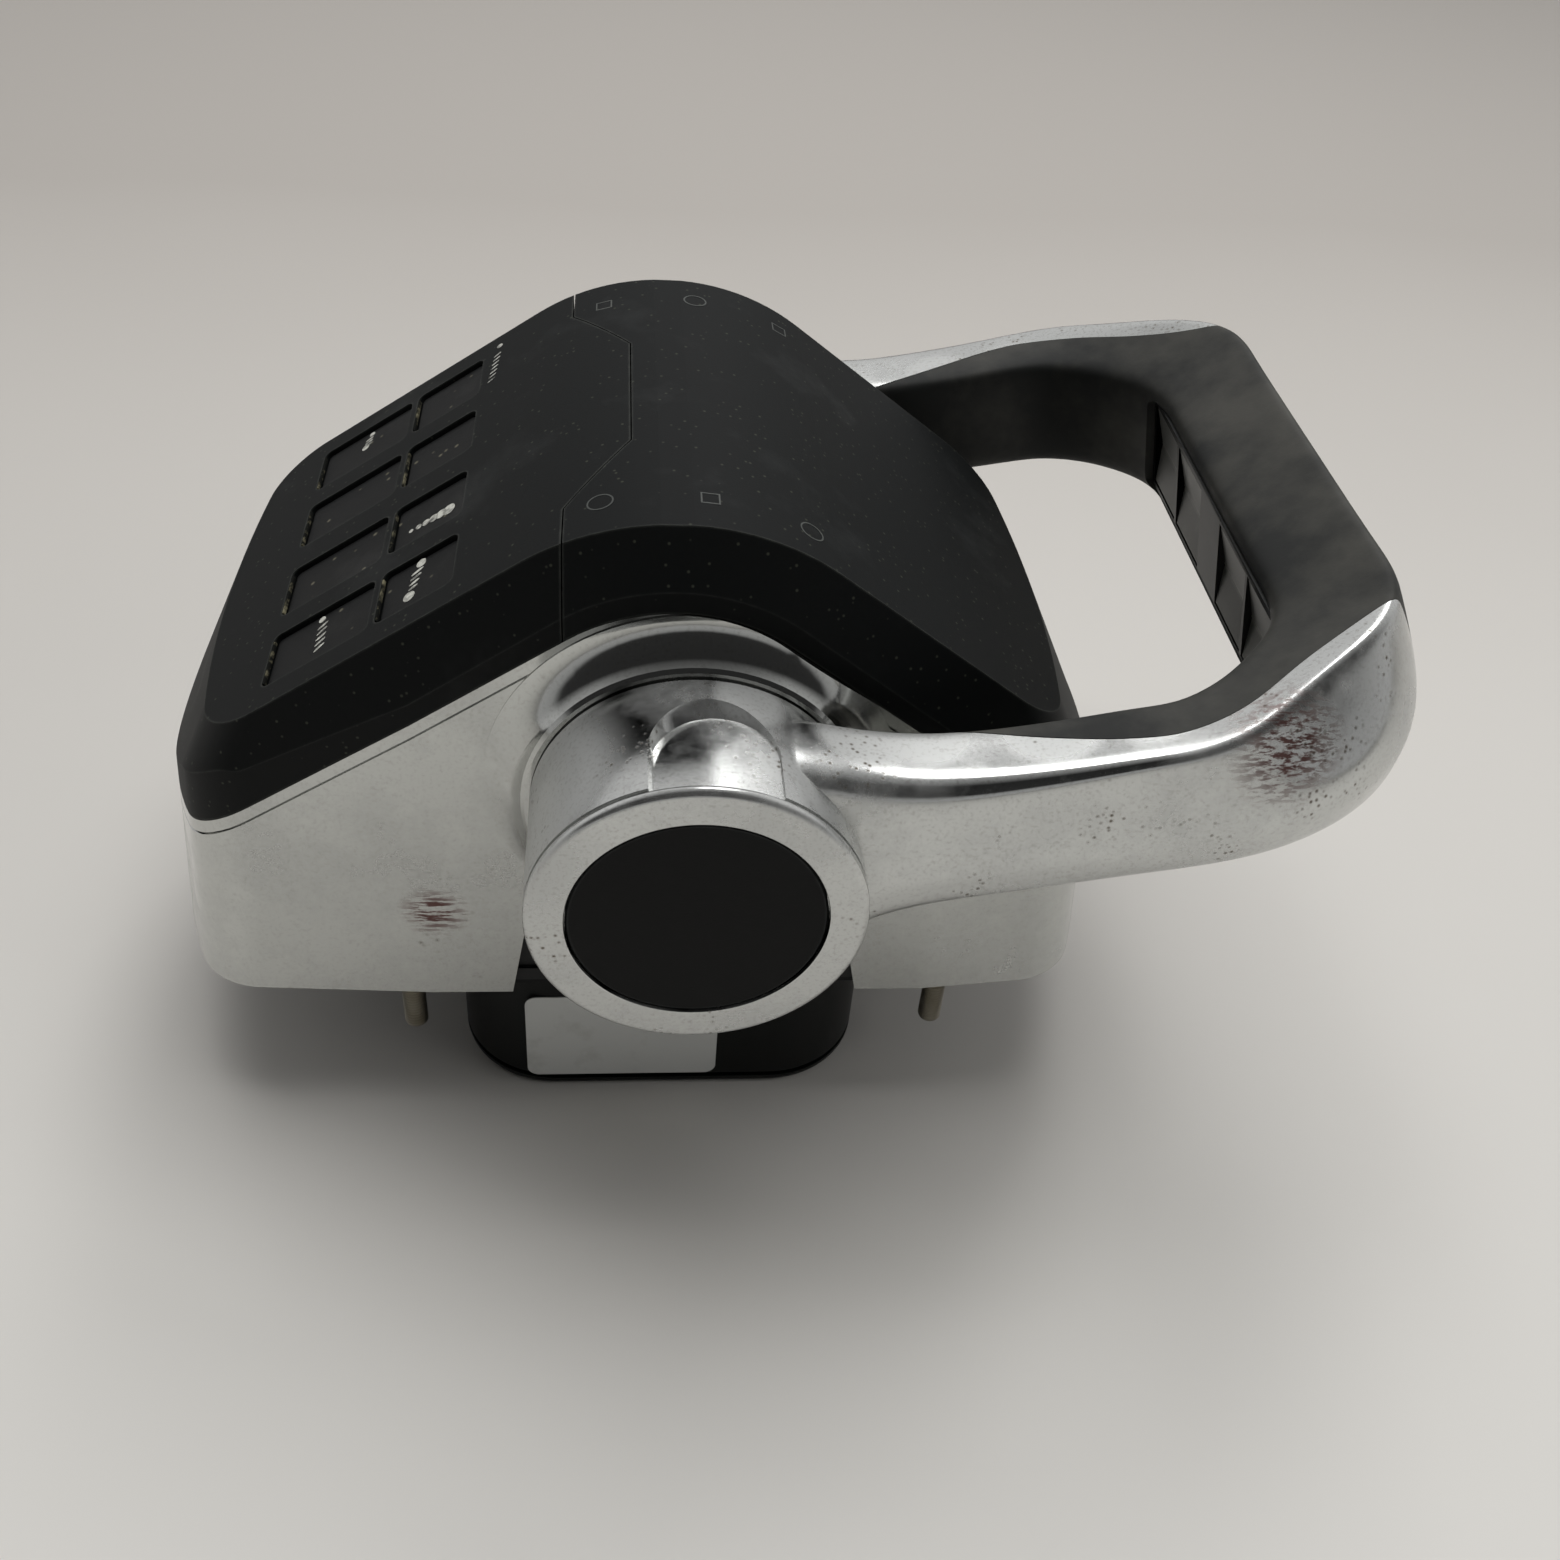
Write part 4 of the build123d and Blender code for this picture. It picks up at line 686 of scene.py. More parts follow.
        # satin film, bare of any print
        self.label = MouldedPolymer(
            "vinyl_label_film", "#c9cac7", "#b3b3ae", rough=0.35, grain_mm=1.5, grain_depth=0.00001,
            patch_mm=14.0).material()


# ------------------------------------------------------------------ dressing of carried-over nodes
class Dresser:
    """Finishes of every carried-over node."""

    def __init__(self, palette: Palette) -> None:
        """Keep which node gets which finish of the palette.

        Args:
            palette: the finishes.
        """
        groups = (
            (palette.cover, "keypad_cover hump_cover"),
            (palette.shell_chrome, "side_shell_near side_shell_far"),
            (palette.arm_chrome, "arm_near arm_far"),
            (palette.grip, "grip_cover"),
            (palette.casting, "grip_core"),
            (palette.bezel, "rocker_bezel"),
            (palette.cap, "hub_cap_near hub_cap_far"),
            (palette.steel, "hub_screw_near hub_screw_far lever_shaft detent_wheel detent_plunger detent_spring "
                            "brake_disc box_screws mounting_studs rocker_pins"),
            (palette.lining, "brake_pad"),
            (palette.magnet, "magnet_ring"),
            (palette.board, "sensor_board main_board keypad_board"),
            (palette.silicone, "keypad_mat"),
            (palette.frame, "chassis harness_socket"),
            (palette.housing, "lower_box box_lid"),
            (palette.foam, "dash_gasket"),
            (palette.label, "label_plate"),
            (palette.bronze, "bush_near bush_far"),
            (palette.key, " ".join(f"key_{number}" for number in range(1, 9))),
            (palette.rocker, " ".join(f"rocker_{number}" for number in range(1, 5))))
        self.finish_of = {node: material for material, nodes in groups for node in nodes.split()}

    def dress_all(self) -> None:
        """Dress every node of the frame."""
        for node, piece in sorted(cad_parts.items()):
            piece.data.materials.clear()
            piece.data.materials.append(self.finish_of[node])
            LOG.info("node %s dressed as %s", node, self.finish_of[node].name)


# ------------------------------------------------------------------ lever bail
@dataclass(frozen=True)
class BailStation:
    """One station of the bail: where it stands in plan and how its section is drawn there.

    Distances are millimetres outward from the pivot; heights are millimetres above the lever plane.
    """

    pivot: tuple[float, float]
    angle: float
    inner: float
    inner_top: float
    foot: float
    swell: float
    ridge: float
    bottom: float
    swell_height: float
    ridge_height: float
    inner_height: float
    ridge_round: float = 4.2

    def ring(self) -> list[Vector]:
        """Control points of the section, with a tight group at each of its four corners.

        Returns:
            Points in the frame of the lever, in millimetres.
        """
        low_in = Vector((self.inner, self.bottom))
        low_out = Vector((self.foot, self.bottom + 0.6))
        swell = Vector((self.swell, self.swell_height))
        ridge = Vector((self.ridge, self.ridge_height))
        top_in = Vector((self.inner_top, self.inner_height))
        corners = ((low_in, top_in, low_out, 7.0), (low_out, low_in, swell, 7.5),
                   (ridge, swell, top_in, self.ridge_round), (top_in, ridge, low_in, 5.6))
        flat: list[Vector] = []
        for corner, before, after, reach in corners:
            flat += [corner + (before - corner).normalized() * reach, corner.copy(),
                     corner + (after - corner).normalized() * reach]
            if corner is low_out:
                flat.append(swell)
        turn = math.radians(self.angle)
        out = Vector((math.sin(turn), -math.cos(turn)))
        return [Vector((self.pivot[0] + out.x * p.x, self.pivot[1] + out.y * p.x, p.y)) for p in flat]


@dataclass
class Bail:
    """One-piece lever bail: two hub drums, two chrome arms and the soft grip between them."""

    palette: Palette
    axis_z: float = 67.0
    lean: float = 11.0
    corner_u: float = 100.0
    corner_y: float = 44.0
    hub_r: float = 35.0
    hub_front: float = 106.5
    hub_root: float = 71.6
    cap_r: float = 26.8
    cap_depth: float = 3.5
    rim_round: float = 1.6
    lip_round: float = 0.35
    drum_steps: int = 160
    pocket_r: float = 22.0
    pocket_depth: float = 10.5
    ring_width: float = 2.4
    ring_groove: float = 0.7
    saddle_x: float = 3.0
    saddle_half: float = 14.0
    saddle_back: float = 77.5
    saddle_depth: float = 4.6
    saddle_crown: float = 1.5
    saddle_steps: int = 28
    crown_cuts: int = 8
    parting: float = 0.25
    bezel_size: tuple[float, float, float] = (14.0, 107.0, 26.8)
    bezel_at: tuple[float, float, float] = (133.5, 0.0, -1.0)
    bezel_corner: float = 2.5
    cutter_half: float = 80.0
    levels: int = 3

    def build(self) -> None:
        """Make the arms with their hubs, and the grip."""
        whole = self._skin()
        soft = boolean("grip_blank", whole, self._region(0.0), "INTERSECT")
        hard = boolean("arm_blank", whole, self._region(self.parting), "DIFFERENCE")
        self._grip(soft)
        for side, name in ((-1, "near"), (1, "far")):
            self._arm(hard, side, name)
        for mesh in (whole, soft, hard):
            bpy.data.meshes.remove(mesh)

    def placed(self) -> Matrix:
        """Lever frame in millimetres to the world in metres."""
        tilt = Matrix.Rotation(-math.radians(self.lean), 4, "Y")
        return Matrix.Scale(MM, 4) @ Matrix.Translation((0.0, 0.0, self.axis_z)) @ tilt

    def _stations(self) -> list[BailStation]:
        """Stations from inside the near hub round the corner to the middle of the grip.

        Returns:
            The stations in order.
        """
        # along the arm, top, bottom, and the reach of the rounding under the ridge, widest at the hub
        arm = ((14.0, 29.5, -28.5, 11.0), (26.0, 25.6, -22.5, 11.0), (38.0, 20.6, -17.8, 10.5),
               (52.0, 17.0, -16.4, 8.5), (66.0, 15.7, -16.4, 6.5), (82.0, 15.6, -16.4, 5.2), (94.0, 16.0, -16.4, 4.4))
        stations = [BailStation(pivot=(u, 0.0), angle=0.0, inner=75.8, inner_top=75.0, foot=96.6, swell=97.8,
                                ridge=95.2, bottom=bottom, swell_height=bottom * 0.35, ridge_height=top,
                                inner_height=top - 0.8, ridge_round=reach) for u, top, bottom, reach in arm]
        # angle, inner, inner top, foot, swell, ridge, height of the swell, height of the ridge
        corner = (
            (5.0, 31.7, 31.0, 52.8, 54.2, 51.3, -4.6, 16.6),
            (18.0, 31.1, 30.2, 54.2, 56.8, 50.9, -3.6, 18.0),
            (32.0, 30.6, 29.5, 56.6, 59.9, 49.4, -2.2, 20.1),
            (46.0, 30.4, 29.3, 59.2, 62.8, 50.9, -0.9, 22.5),
            (60.0, 30.9, 30.2, 60.8, 64.8, 55.0, 0.2, 24.5),
            (74.0, 31.6, 31.8, 59.8, 64.6, 57.1, 0.8, 25.7),
            (90.0, 32.0, 33.0, 57.2, 62.6, 55.4, 1.0, 26.0))
        pivot = (self.corner_u, -self.corner_y)
        for angle, inner, top, foot, swell, ridge, rise, height in corner:
            stations.append(BailStation(pivot, angle, inner, top, foot, swell, ridge, bottom=-16.4, swell_height=rise,
                                        ridge_height=height,
                                        inner_height=16.0 - 0.8 * math.cos(math.radians(angle))))
        last = stations[-1]
        for share in (0.72, 0.36, 0.0):
            stations.append(replace(last, pivot=(pivot[0], share * pivot[1])))
        return stations

    def _skin(self) -> Mesh:
        """Skin of the whole bail: a grid wrapped on the stations, subdivided and mirrored.

        Returns:
            Mesh in the frame of the lever, in millimetres.
        """
        rings = [station.ring() for station in self._stations()]
        rows, columns = len(rings), len(rings[0])
        rings = self._sharpened(rings)
        bm = bmesh.new()
        bmesh.ops.create_grid(bm, x_segments=rows - 1, y_segments=columns, size=1.0)
        for vert in bm.verts:
            row = round((vert.co.x + 1.0) / 2.0 * (rows - 1))
            column = round((vert.co.y + 1.0) / 2.0 * columns) % columns
            vert.co = rings[row][column]
        bmesh.ops.remove_doubles(bm, verts=bm.verts[:], dist=0.01)
        bmesh.ops.mirror(bm, geom=everything(bm), axis="Y", merge_dist=0.01)
        bmesh.ops.holes_fill(bm, edges=[e for e in bm.edges if e.is_boundary], sides=0)
        bmesh.ops.recalc_face_normals(bm, faces=bm.faces[:])
        cage = as_object("bail_cage", bm)
        smooth = cage.modifiers.new("smooth", "SUBSURF")
        smooth.levels = smooth.render_levels = self.levels
        return baked(cage)

    def _sharpened(self, rings: list[list[Vector]]) -> list[list[Vector]]:
        """Push each control ring out by what the subdivision pulls it in along the bail.

        Args:
            rings: control points of each station.

        Returns:
            The same rings, moved.
        """
        out = [list(ring) for ring in rings]
        for row in range(1, len(rings) - 1):
            for column, point in enumerate(rings[row]):
                bend = rings[row - 1][column] - 2 * point + rings[row + 1][column]
                out[row][column] = point - bend / 6
        return out

    def _region(self, grow: float) -> Object:
        """Cutter over the soft grip: its plan outline, drawn up and down through the bail.

        Args:
            grow: how far the outline is moved outwards, in millimetres.

        Returns:
            The cutter.
        """
        run = ((40.0, 70.4), (60.0, 76.6), (78.0, 82.6), (93.0, 86.6), (104.0, 87.2), (117.0, 83.2),
               (132.0, 74.0), (146.0, 67.0), (158.0, 62.8), (178.0, 57.0))
        near = smooth_run([Vector((u - grow, -y - grow, 0.0)) for u, y in run], 6)
        outline = near + [Vector((p.x, -p.y, 0.0)) for p in reversed(near)]
        bm = bmesh.new()
        verts = [bm.verts.new(p - Vector((0.0, 0.0, self.cutter_half))) for p in outline]
        raised(bm, [bm.faces.new(verts)], 2 * self.cutter_half)
        return as_object("grip_region", bm)

    def _grip(self, blank: Mesh) -> None:
        """Soft grip with the pocket of the rocker bezel in its inner face.

        Args:
            blank: the part of the bail inside the plan outline.
        """
        bm = bmesh.new()
        bmesh.ops.create_cube(bm, size=1.0)
        bmesh.ops.scale(bm, verts=bm.verts[:], vec=self.bezel_size)
        along = [e for e in bm.edges if abs((e.verts[0].co - e.verts[1].co).x) > 1.0]
        round_edges(bm, along, self.bezel_corner, 4)
        bmesh.ops.translate(bm, verts=bm.verts[:], vec=self.bezel_at)
        pocket = as_object("bezel_pocket", bm)
        mesh = boolean("grip_overmould", blank, pocket, "DIFFERENCE")
        finish("grip_overmould", mesh, self.placed(), self.palette.grip, Body.LEVER, ("grip_cover",))

    def _arm(self, blank: Mesh, side: int, name: str) -> None:
        """One chrome arm with its hub drum, saddle and cap recess.

        Args:
            blank: both arms without their hubs.
            side: -1 for the near arm, 1 for the far one.
            name: side name used by the frame.
        """
        half = bmesh.new()
        half.from_mesh(blank)
        bmesh.ops.bisect_plane(half, geom=everything(half), plane_co=(0.0, 0.0, 0.0), plane_no=(0.0, -side, 0.0),
                               clear_outer=True)
        arm = as_object("arm_half", half)
        drum = self._drum(side)
        body = boolean("arm_body", drum, arm, "UNION")
        dished = boolean("arm_dished", body, self._saddle(side), "DIFFERENCE")
        bpy.data.meshes.remove(drum)
        bpy.data.meshes.remove(body)
        finish(f"chrome_arm_{name}", dished, self.placed(), self.palette.arm_chrome, Body.LEVER, (f"arm_{name}",))

    def _drum(self, side: int) -> Mesh:
        """Hub drum turned about the hub axis: rim, groove behind the ring and cap recess.

        Args:
            side: -1 for the near drum, 1 for the far one.

        Returns:
            Mesh in the frame of the lever, in millimetres.
        """
        ring_y = self.hub_front - self.ring_width
        groove_r = self.hub_r - self.ring_groove
        profile = (
            (0.0, self.hub_root), (self.hub_r, self.hub_root), (self.hub_r, ring_y - self.ring_groove),
            (groove_r, ring_y - self.ring_groove), (groove_r, ring_y), (self.hub_r, ring_y),
            (self.hub_r, self.hub_front), (self.cap_r, self.hub_front), (self.cap_r, self.hub_front - self.cap_depth),
            (self.pocket_r, self.hub_front - self.cap_depth), (self.pocket_r, self.hub_front - self.pocket_depth),
            (0.0, self.hub_front - self.pocket_depth))
        bm = bmesh.new()
        turned(bm, [(0.0, side * y, radius) for radius, y in profile], (0.0, 1.0, 0.0), self.drum_steps)
        rim = [e for e in bm.edges if on_circle(e, side * self.hub_front, self.hub_r)]
        round_edges(bm, rim, self.rim_round, 5)
        lip = [e for e in bm.edges if on_circle(e, side * self.hub_front, self.cap_r)
               or on_circle(e, side * ring_y, self.hub_r)]
        round_edges(bm, lip, self.lip_round, 2)
        bmesh.ops.recalc_face_normals(bm, faces=bm.faces[:])
        return baked(as_object("hub_drum", bm))

    def _crown(self, bm: BMesh) -> None:
        """Crown the floor of the saddle cutter across the drum.

        Args:
            bm: the cutter, before it is moved and turned into place.
        """
        floor_z = self.hub_r - self.saddle_depth
        half = self.saddle_half * 0.9
        for step in range(1 - self.crown_cuts, self.crown_cuts):
            bottom = [f for f in bm.faces if all(abs(v.co.z - floor_z) < 0.01 for v in f.verts)]
            geom = [g for f in bottom for g in (*f.verts, *f.edges)] + bottom
            bmesh.ops.bisect_plane(bm, geom=list(dict.fromkeys(geom)), plane_no=(1.0, 0.0, 0.0),
                                   plane_co=(half * step / self.crown_cuts, 0.0, 0.0))
        for vert in bm.verts:
            if abs(vert.co.z - floor_z) < 0.01:
                vert.co.z += self.saddle_crown * (1.0 - (vert.co.x / half) ** 2)

    def _saddle(self, side: int) -> Object:
        """Cutter of the D-shaped saddle: a round rear wall that leans back, steep side walls.

        Args:
            side: -1 for the near drum, 1 for the far one.

        Returns:
            The cutter.
        """
        centre_y = self.saddle_back + self.saddle_half
        front_y = self.hub_front - self.ring_width
        bm = bmesh.new()
        arc = [Vector((-self.saddle_half * math.cos(t), -self.saddle_half * math.sin(t)))
               for t in (math.pi * step / self.saddle_steps for step in range(self.saddle_steps + 1))]
        outline = arc + [Vector((x, front_y - centre_y)) for x in (self.saddle_half, -self.saddle_half)]
        level = bm.faces.new([bm.verts.new((p.x, side * (centre_y + p.y), self.hub_r + 2.0)) for p in outline])
        # height of each level down to the floor, and how far its walls have closed in
        for height, share in ((self.hub_r + 0.4, 1.0), (self.hub_r - 1.2, 0.94),
                              (self.hub_r - self.saddle_depth, 0.80)):
            level = bmesh.ops.extrude_discrete_faces(bm, faces=[level])["faces"][0]
            for vert, point in zip(level.verts, outline):
                inward = point.y if point.y > 0 else point.y * share
                vert.co = (point.x * (0.5 + 0.5 * share), side * (centre_y + inward), height)
        self._crown(bm)
        bmesh.ops.recalc_face_normals(bm, faces=bm.faces[:])
        bmesh.ops.translate(bm, verts=bm.verts[:], vec=(self.saddle_x, 0.0, 0.0))
        upright = Matrix.Rotation(math.radians(self.lean), 4, "Y")
        bmesh.ops.transform(bm, matrix=upright, verts=bm.verts[:])
        return as_object("saddle_cutter", bm)


# ------------------------------------------------------------------ softened copies of moulded parts
def softened(node: str, material: Material, body: Body | str, round_mm: float,
             segments: int = 3, least_turn: float = 28.0) -> None:
    """Stand in for a node with its hard edges rounded as a mould leaves them.

    Args:
        node: node that is copied and replaced.
        material: finish of the copy.
        body: body it rides on.
        round_mm: width of the rounding in millimetres.
        segments: pieces across the rounding.
        least_turn: only edges that turn by more than this many degrees are rounded.
    """
    bm = bmesh.new()
    bm.from_mesh(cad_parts[node].data)
    bmesh.ops.scale(bm, verts=bm.verts[:], vec=(1 / MM, 1 / MM, 1 / MM))
    bmesh.ops.remove_doubles(bm, verts=bm.verts[:], dist=0.005)
    bmesh.ops.dissolve_limit(bm, angle_limit=math.radians(0.6), verts=bm.verts[:], edges=bm.edges[:])
    hard = [e for e in bm.edges if len(e.link_faces) == 2 and e.calc_face_angle() > math.radians(least_turn)]
    round_edges(bm, hard, round_mm, segments, clamp=True)
    bmesh.ops.recalc_face_normals(bm, faces=bm.faces[:])
    mesh = baked(as_object(f"{node}_soft", bm))
    finish(f"{node}_moulded", mesh, Matrix.Scale(MM, 4), material, body, (node,), sharp=50.0)


@dataclass(frozen=True)
class Dot:
    """Round spot of a worn mark, in the frame of the key tops, in millimetres."""

    x: float
    y: float
    radius: float

    def place(self) -> Matrix:
        """Matrix that lays a unit circle there."""
        return Matrix.Translation((self.x, self.y, 0.0)) @ Matrix.Diagonal((self.radius, self.radius * 1.15, 1.0, 1.0))


@dataclass(frozen=True)
class Bar:
    """Slanted short bar of a worn mark, in the frame of the key tops, in millimetres and degrees."""

    x: float
    y: float
    length: float
    width: float
    turn: float

    def place(self) -> Matrix:
        """Matrix that lays a unit circle there as a narrow bar.

        Returns:
            The matrix, in the frame of the key tops.
        """
        turned = Matrix.Rotation(math.radians(self.turn), 4, "Z")
        return (Matrix.Translation((self.x, self.y, 0.0)) @ turned
                @ Matrix.Diagonal((self.length / 2, self.width / 2, 1.0, 1.0)))


@dataclass(frozen=True)
class WornMark:
    """Remains of one printed mark: thin spots and bars of paint."""

    name: str
    body: str
    height: float
    spots: tuple[Dot | Bar, ...]
    thick: float = 0.06
    sunk: float = 0.02

    def build(self, pad: "Keypad") -> None:
        """Lay the mark on its key or on the cover.

        Args:
            pad: the keypad whose frame and palette it uses.
        """
        bm = bmesh.new()
        for spot in self.spots:
            bmesh.ops.create_circle(bm, cap_ends=True, radius=1.0, segments=16, matrix=spot.place())
        raised(bm, bm.faces[:], self.thick)
        bmesh.ops.translate(bm, verts=bm.verts[:], vec=(0.0, 0.0, self.height - self.sunk))
        finish(f"{self.name}_worn_mark", baked(as_object("mark", bm)), pad.placed(), pad.palette.print, self.body)


@dataclass
class Keypad:
    """Eight keys with their worn printed marks, and the dirt that gathers at their lower edges."""

    palette: Palette
    slope: float = 34.1
    start_x: float = -98.0
    start_z: float = 78.6
    rows: tuple[float, ...] = (-41.0, -14.3, 14.3, 41.0)
    upper_start: float = 37.4
    first: float = 6.8
    sink: float = 1.0
    key_round: float = 0.7
    ridge_size: tuple[float, float, float] = (0.55, 15.6, 0.9)
    ridge_back: float = 0.30
    ridge_round: float = 0.22

    def build(self) -> None:
        """Make the keys, marks and dirt lines."""
        for number in range(1, 9):
            softened(f"key_{number}", self.palette.key, f"key_{number}_body", self.key_round)
        self._marks()
        self._dirt()

    def placed(self) -> Matrix:
        """Frame of the key tops: x up the slope, y across, z out of the face, in millimetres."""
        turn = Matrix.Rotation(-math.radians(self.slope), 4, "Y")
        return Matrix.Scale(MM, 4) @ Matrix.Translation((self.start_x, 0.0, self.start_z)) @ turn

    def _marks(self) -> None:
        """Remains of the printed marks, worn differently on each key and on the cover beside them."""
        hatch = [Bar(20.2 + 0.1 * step, -36.5 - 2.1 * step, 3.2, 0.8, 32.0) for step in range(5)]
        near_upper = [Bar(46.2 - 0.2 * step, -36.4 - 1.9 * step, 3.4 - 0.3 * step, 0.9, 24.0) for step in range(4)]
        far_lower = [Bar(20.8, 46.0 - 1.4 * step, 2.6, 0.7, 20.0) for step in range(3)]
        wedge = [Dot(42.0 + 2.1 * step, -16.6, 0.6 + 0.22 * step) for step in range(6)]
        beside = [Bar(62.0 - 0.16 * step, 47.5 - 2.1 * step, 2.4, 0.55, 24.0) for step in range(7)]
        marks = {"key_1": (Dot(19.6, -33.8, 0.95), *hatch),
                 "key_5": (Dot(46.9, -33.7, 1.3), *near_upper, Dot(44.9, -44.9, 1.5)),
                 "key_6": tuple(wedge),
                 "key_4": (Dot(21.4, 48.0, 0.85), *far_lower, Dot(20.0, 42.4, 1.1))}
        for key, spots in marks.items():
            WornMark(key, f"{key}_body", -self.sink, spots).build(self)
        WornMark("cover_far", "console", 0.0, (Dot(62.4, 52.0, 0.85), *beside)).build(self)

    def _dirt(self) -> None:
        """Ridges of dust packed against the lower wall of each key opening."""
        bm = bmesh.new()
        size = Matrix.Diagonal((*self.ridge_size, 1.0))
        for row in self.rows:
            for along in (self.first, self.upper_start):
                seat = Matrix.Translation((along - self.ridge_back, row, -self.sink * 0.55))
                verts = set(bmesh.ops.create_cube(bm, size=1.0, matrix=seat @ size)["verts"])
                own = [e for e in bm.edges if e.verts[0] in verts and e.verts[1] in verts]
                round_edges(bm, own, self.ridge_round, 2)
        finish("keypad_dust_lines", baked(as_object("dust", bm)), self.placed(), self.palette.dust,
               Body.CONSOLE)


@dataclass
class HumpMarks:
    """Six faint ring marks moulded beside the crown of the hump, three on each side."""

    palette: Palette
    size: float = 2.9
    line: float = 0.36
    proud: float = 0.06
    thick: float = 0.28
    hump_r: float = 57.0

    def build(self) -> None:
        """Make the marks, each lying on the cover under it."""
        # x, |y|, z of the middle of each mark and how far the cover leans there
        seats = ((-20.0, 46.5, 127.91, -16.2), (2.4, 47.0, 129.69, 6.1), (23.8, 47.5, 122.62, 28.9))
        bm = bmesh.new()
        for side in (-1, 1):
            for number, (x, y, z, lean) in enumerate(seats):
                corners = 4 if (number + (side > 0)) % 2 else 24
                seat = Matrix.Translation((x, side * y, z)) @ Matrix.Rotation(math.radians(lean), 4, "Y")
                place = seat @ Matrix.Rotation(math.radians(45.0), 4, "Z")
                disc = bmesh.ops.create_circle(bm, cap_ends=True, radius=self.size, segments=corners, matrix=place)
                face = disc["verts"][0].link_faces[0]
                ring = bmesh.ops.inset_region(bm, faces=[face], thickness=self.line, use_even_offset=True,
                                              use_boundary=True)["faces"]
                bmesh.ops.delete(bm, geom=[face], context="FACES")
                # bent to the round of the hump, just proud of it all the way round
                for vert in {v for part in ring for v in part.verts}:
                    local = seat.inverted() @ vert.co
                    local.z += self.proud - local.x ** 2 / (2 * self.hump_r)
                    vert.co = seat @ local
        # the thickness goes down, into the cover
        bmesh.ops.solidify(bm, geom=bm.faces[:], thickness=self.thick)
        bmesh.ops.recalc_face_normals(bm, faces=bm.faces[:])
        # the marks carry painted highlight: they are a lighter grey than the cover round them
        finish("hump_ring_marks", baked(as_object("marks", bm)), Matrix.Scale(MM, 4), self.palette.mark_highlight,
               Body.CONSOLE)


@dataclass
class Rockers:
    """Four two-way rockers in their bezel, with rubbed edges."""

    palette: Palette
    ridge_round: float = 0.6
    ridge_turn: float = 14.0
    bezel_round: float = 0.35

    def build(self) -> None:
        """Make the rockers and the bezel."""
        for number in range(1, 5):
            softened(f"rocker_{number}", self.palette.rocker, f"rocker_{number}_body", self.ridge_round,
                     least_turn=self.ridge_turn)
        softened("rocker_bezel", self.palette.bezel, Body.LEVER, self.bezel_round, segments=2)


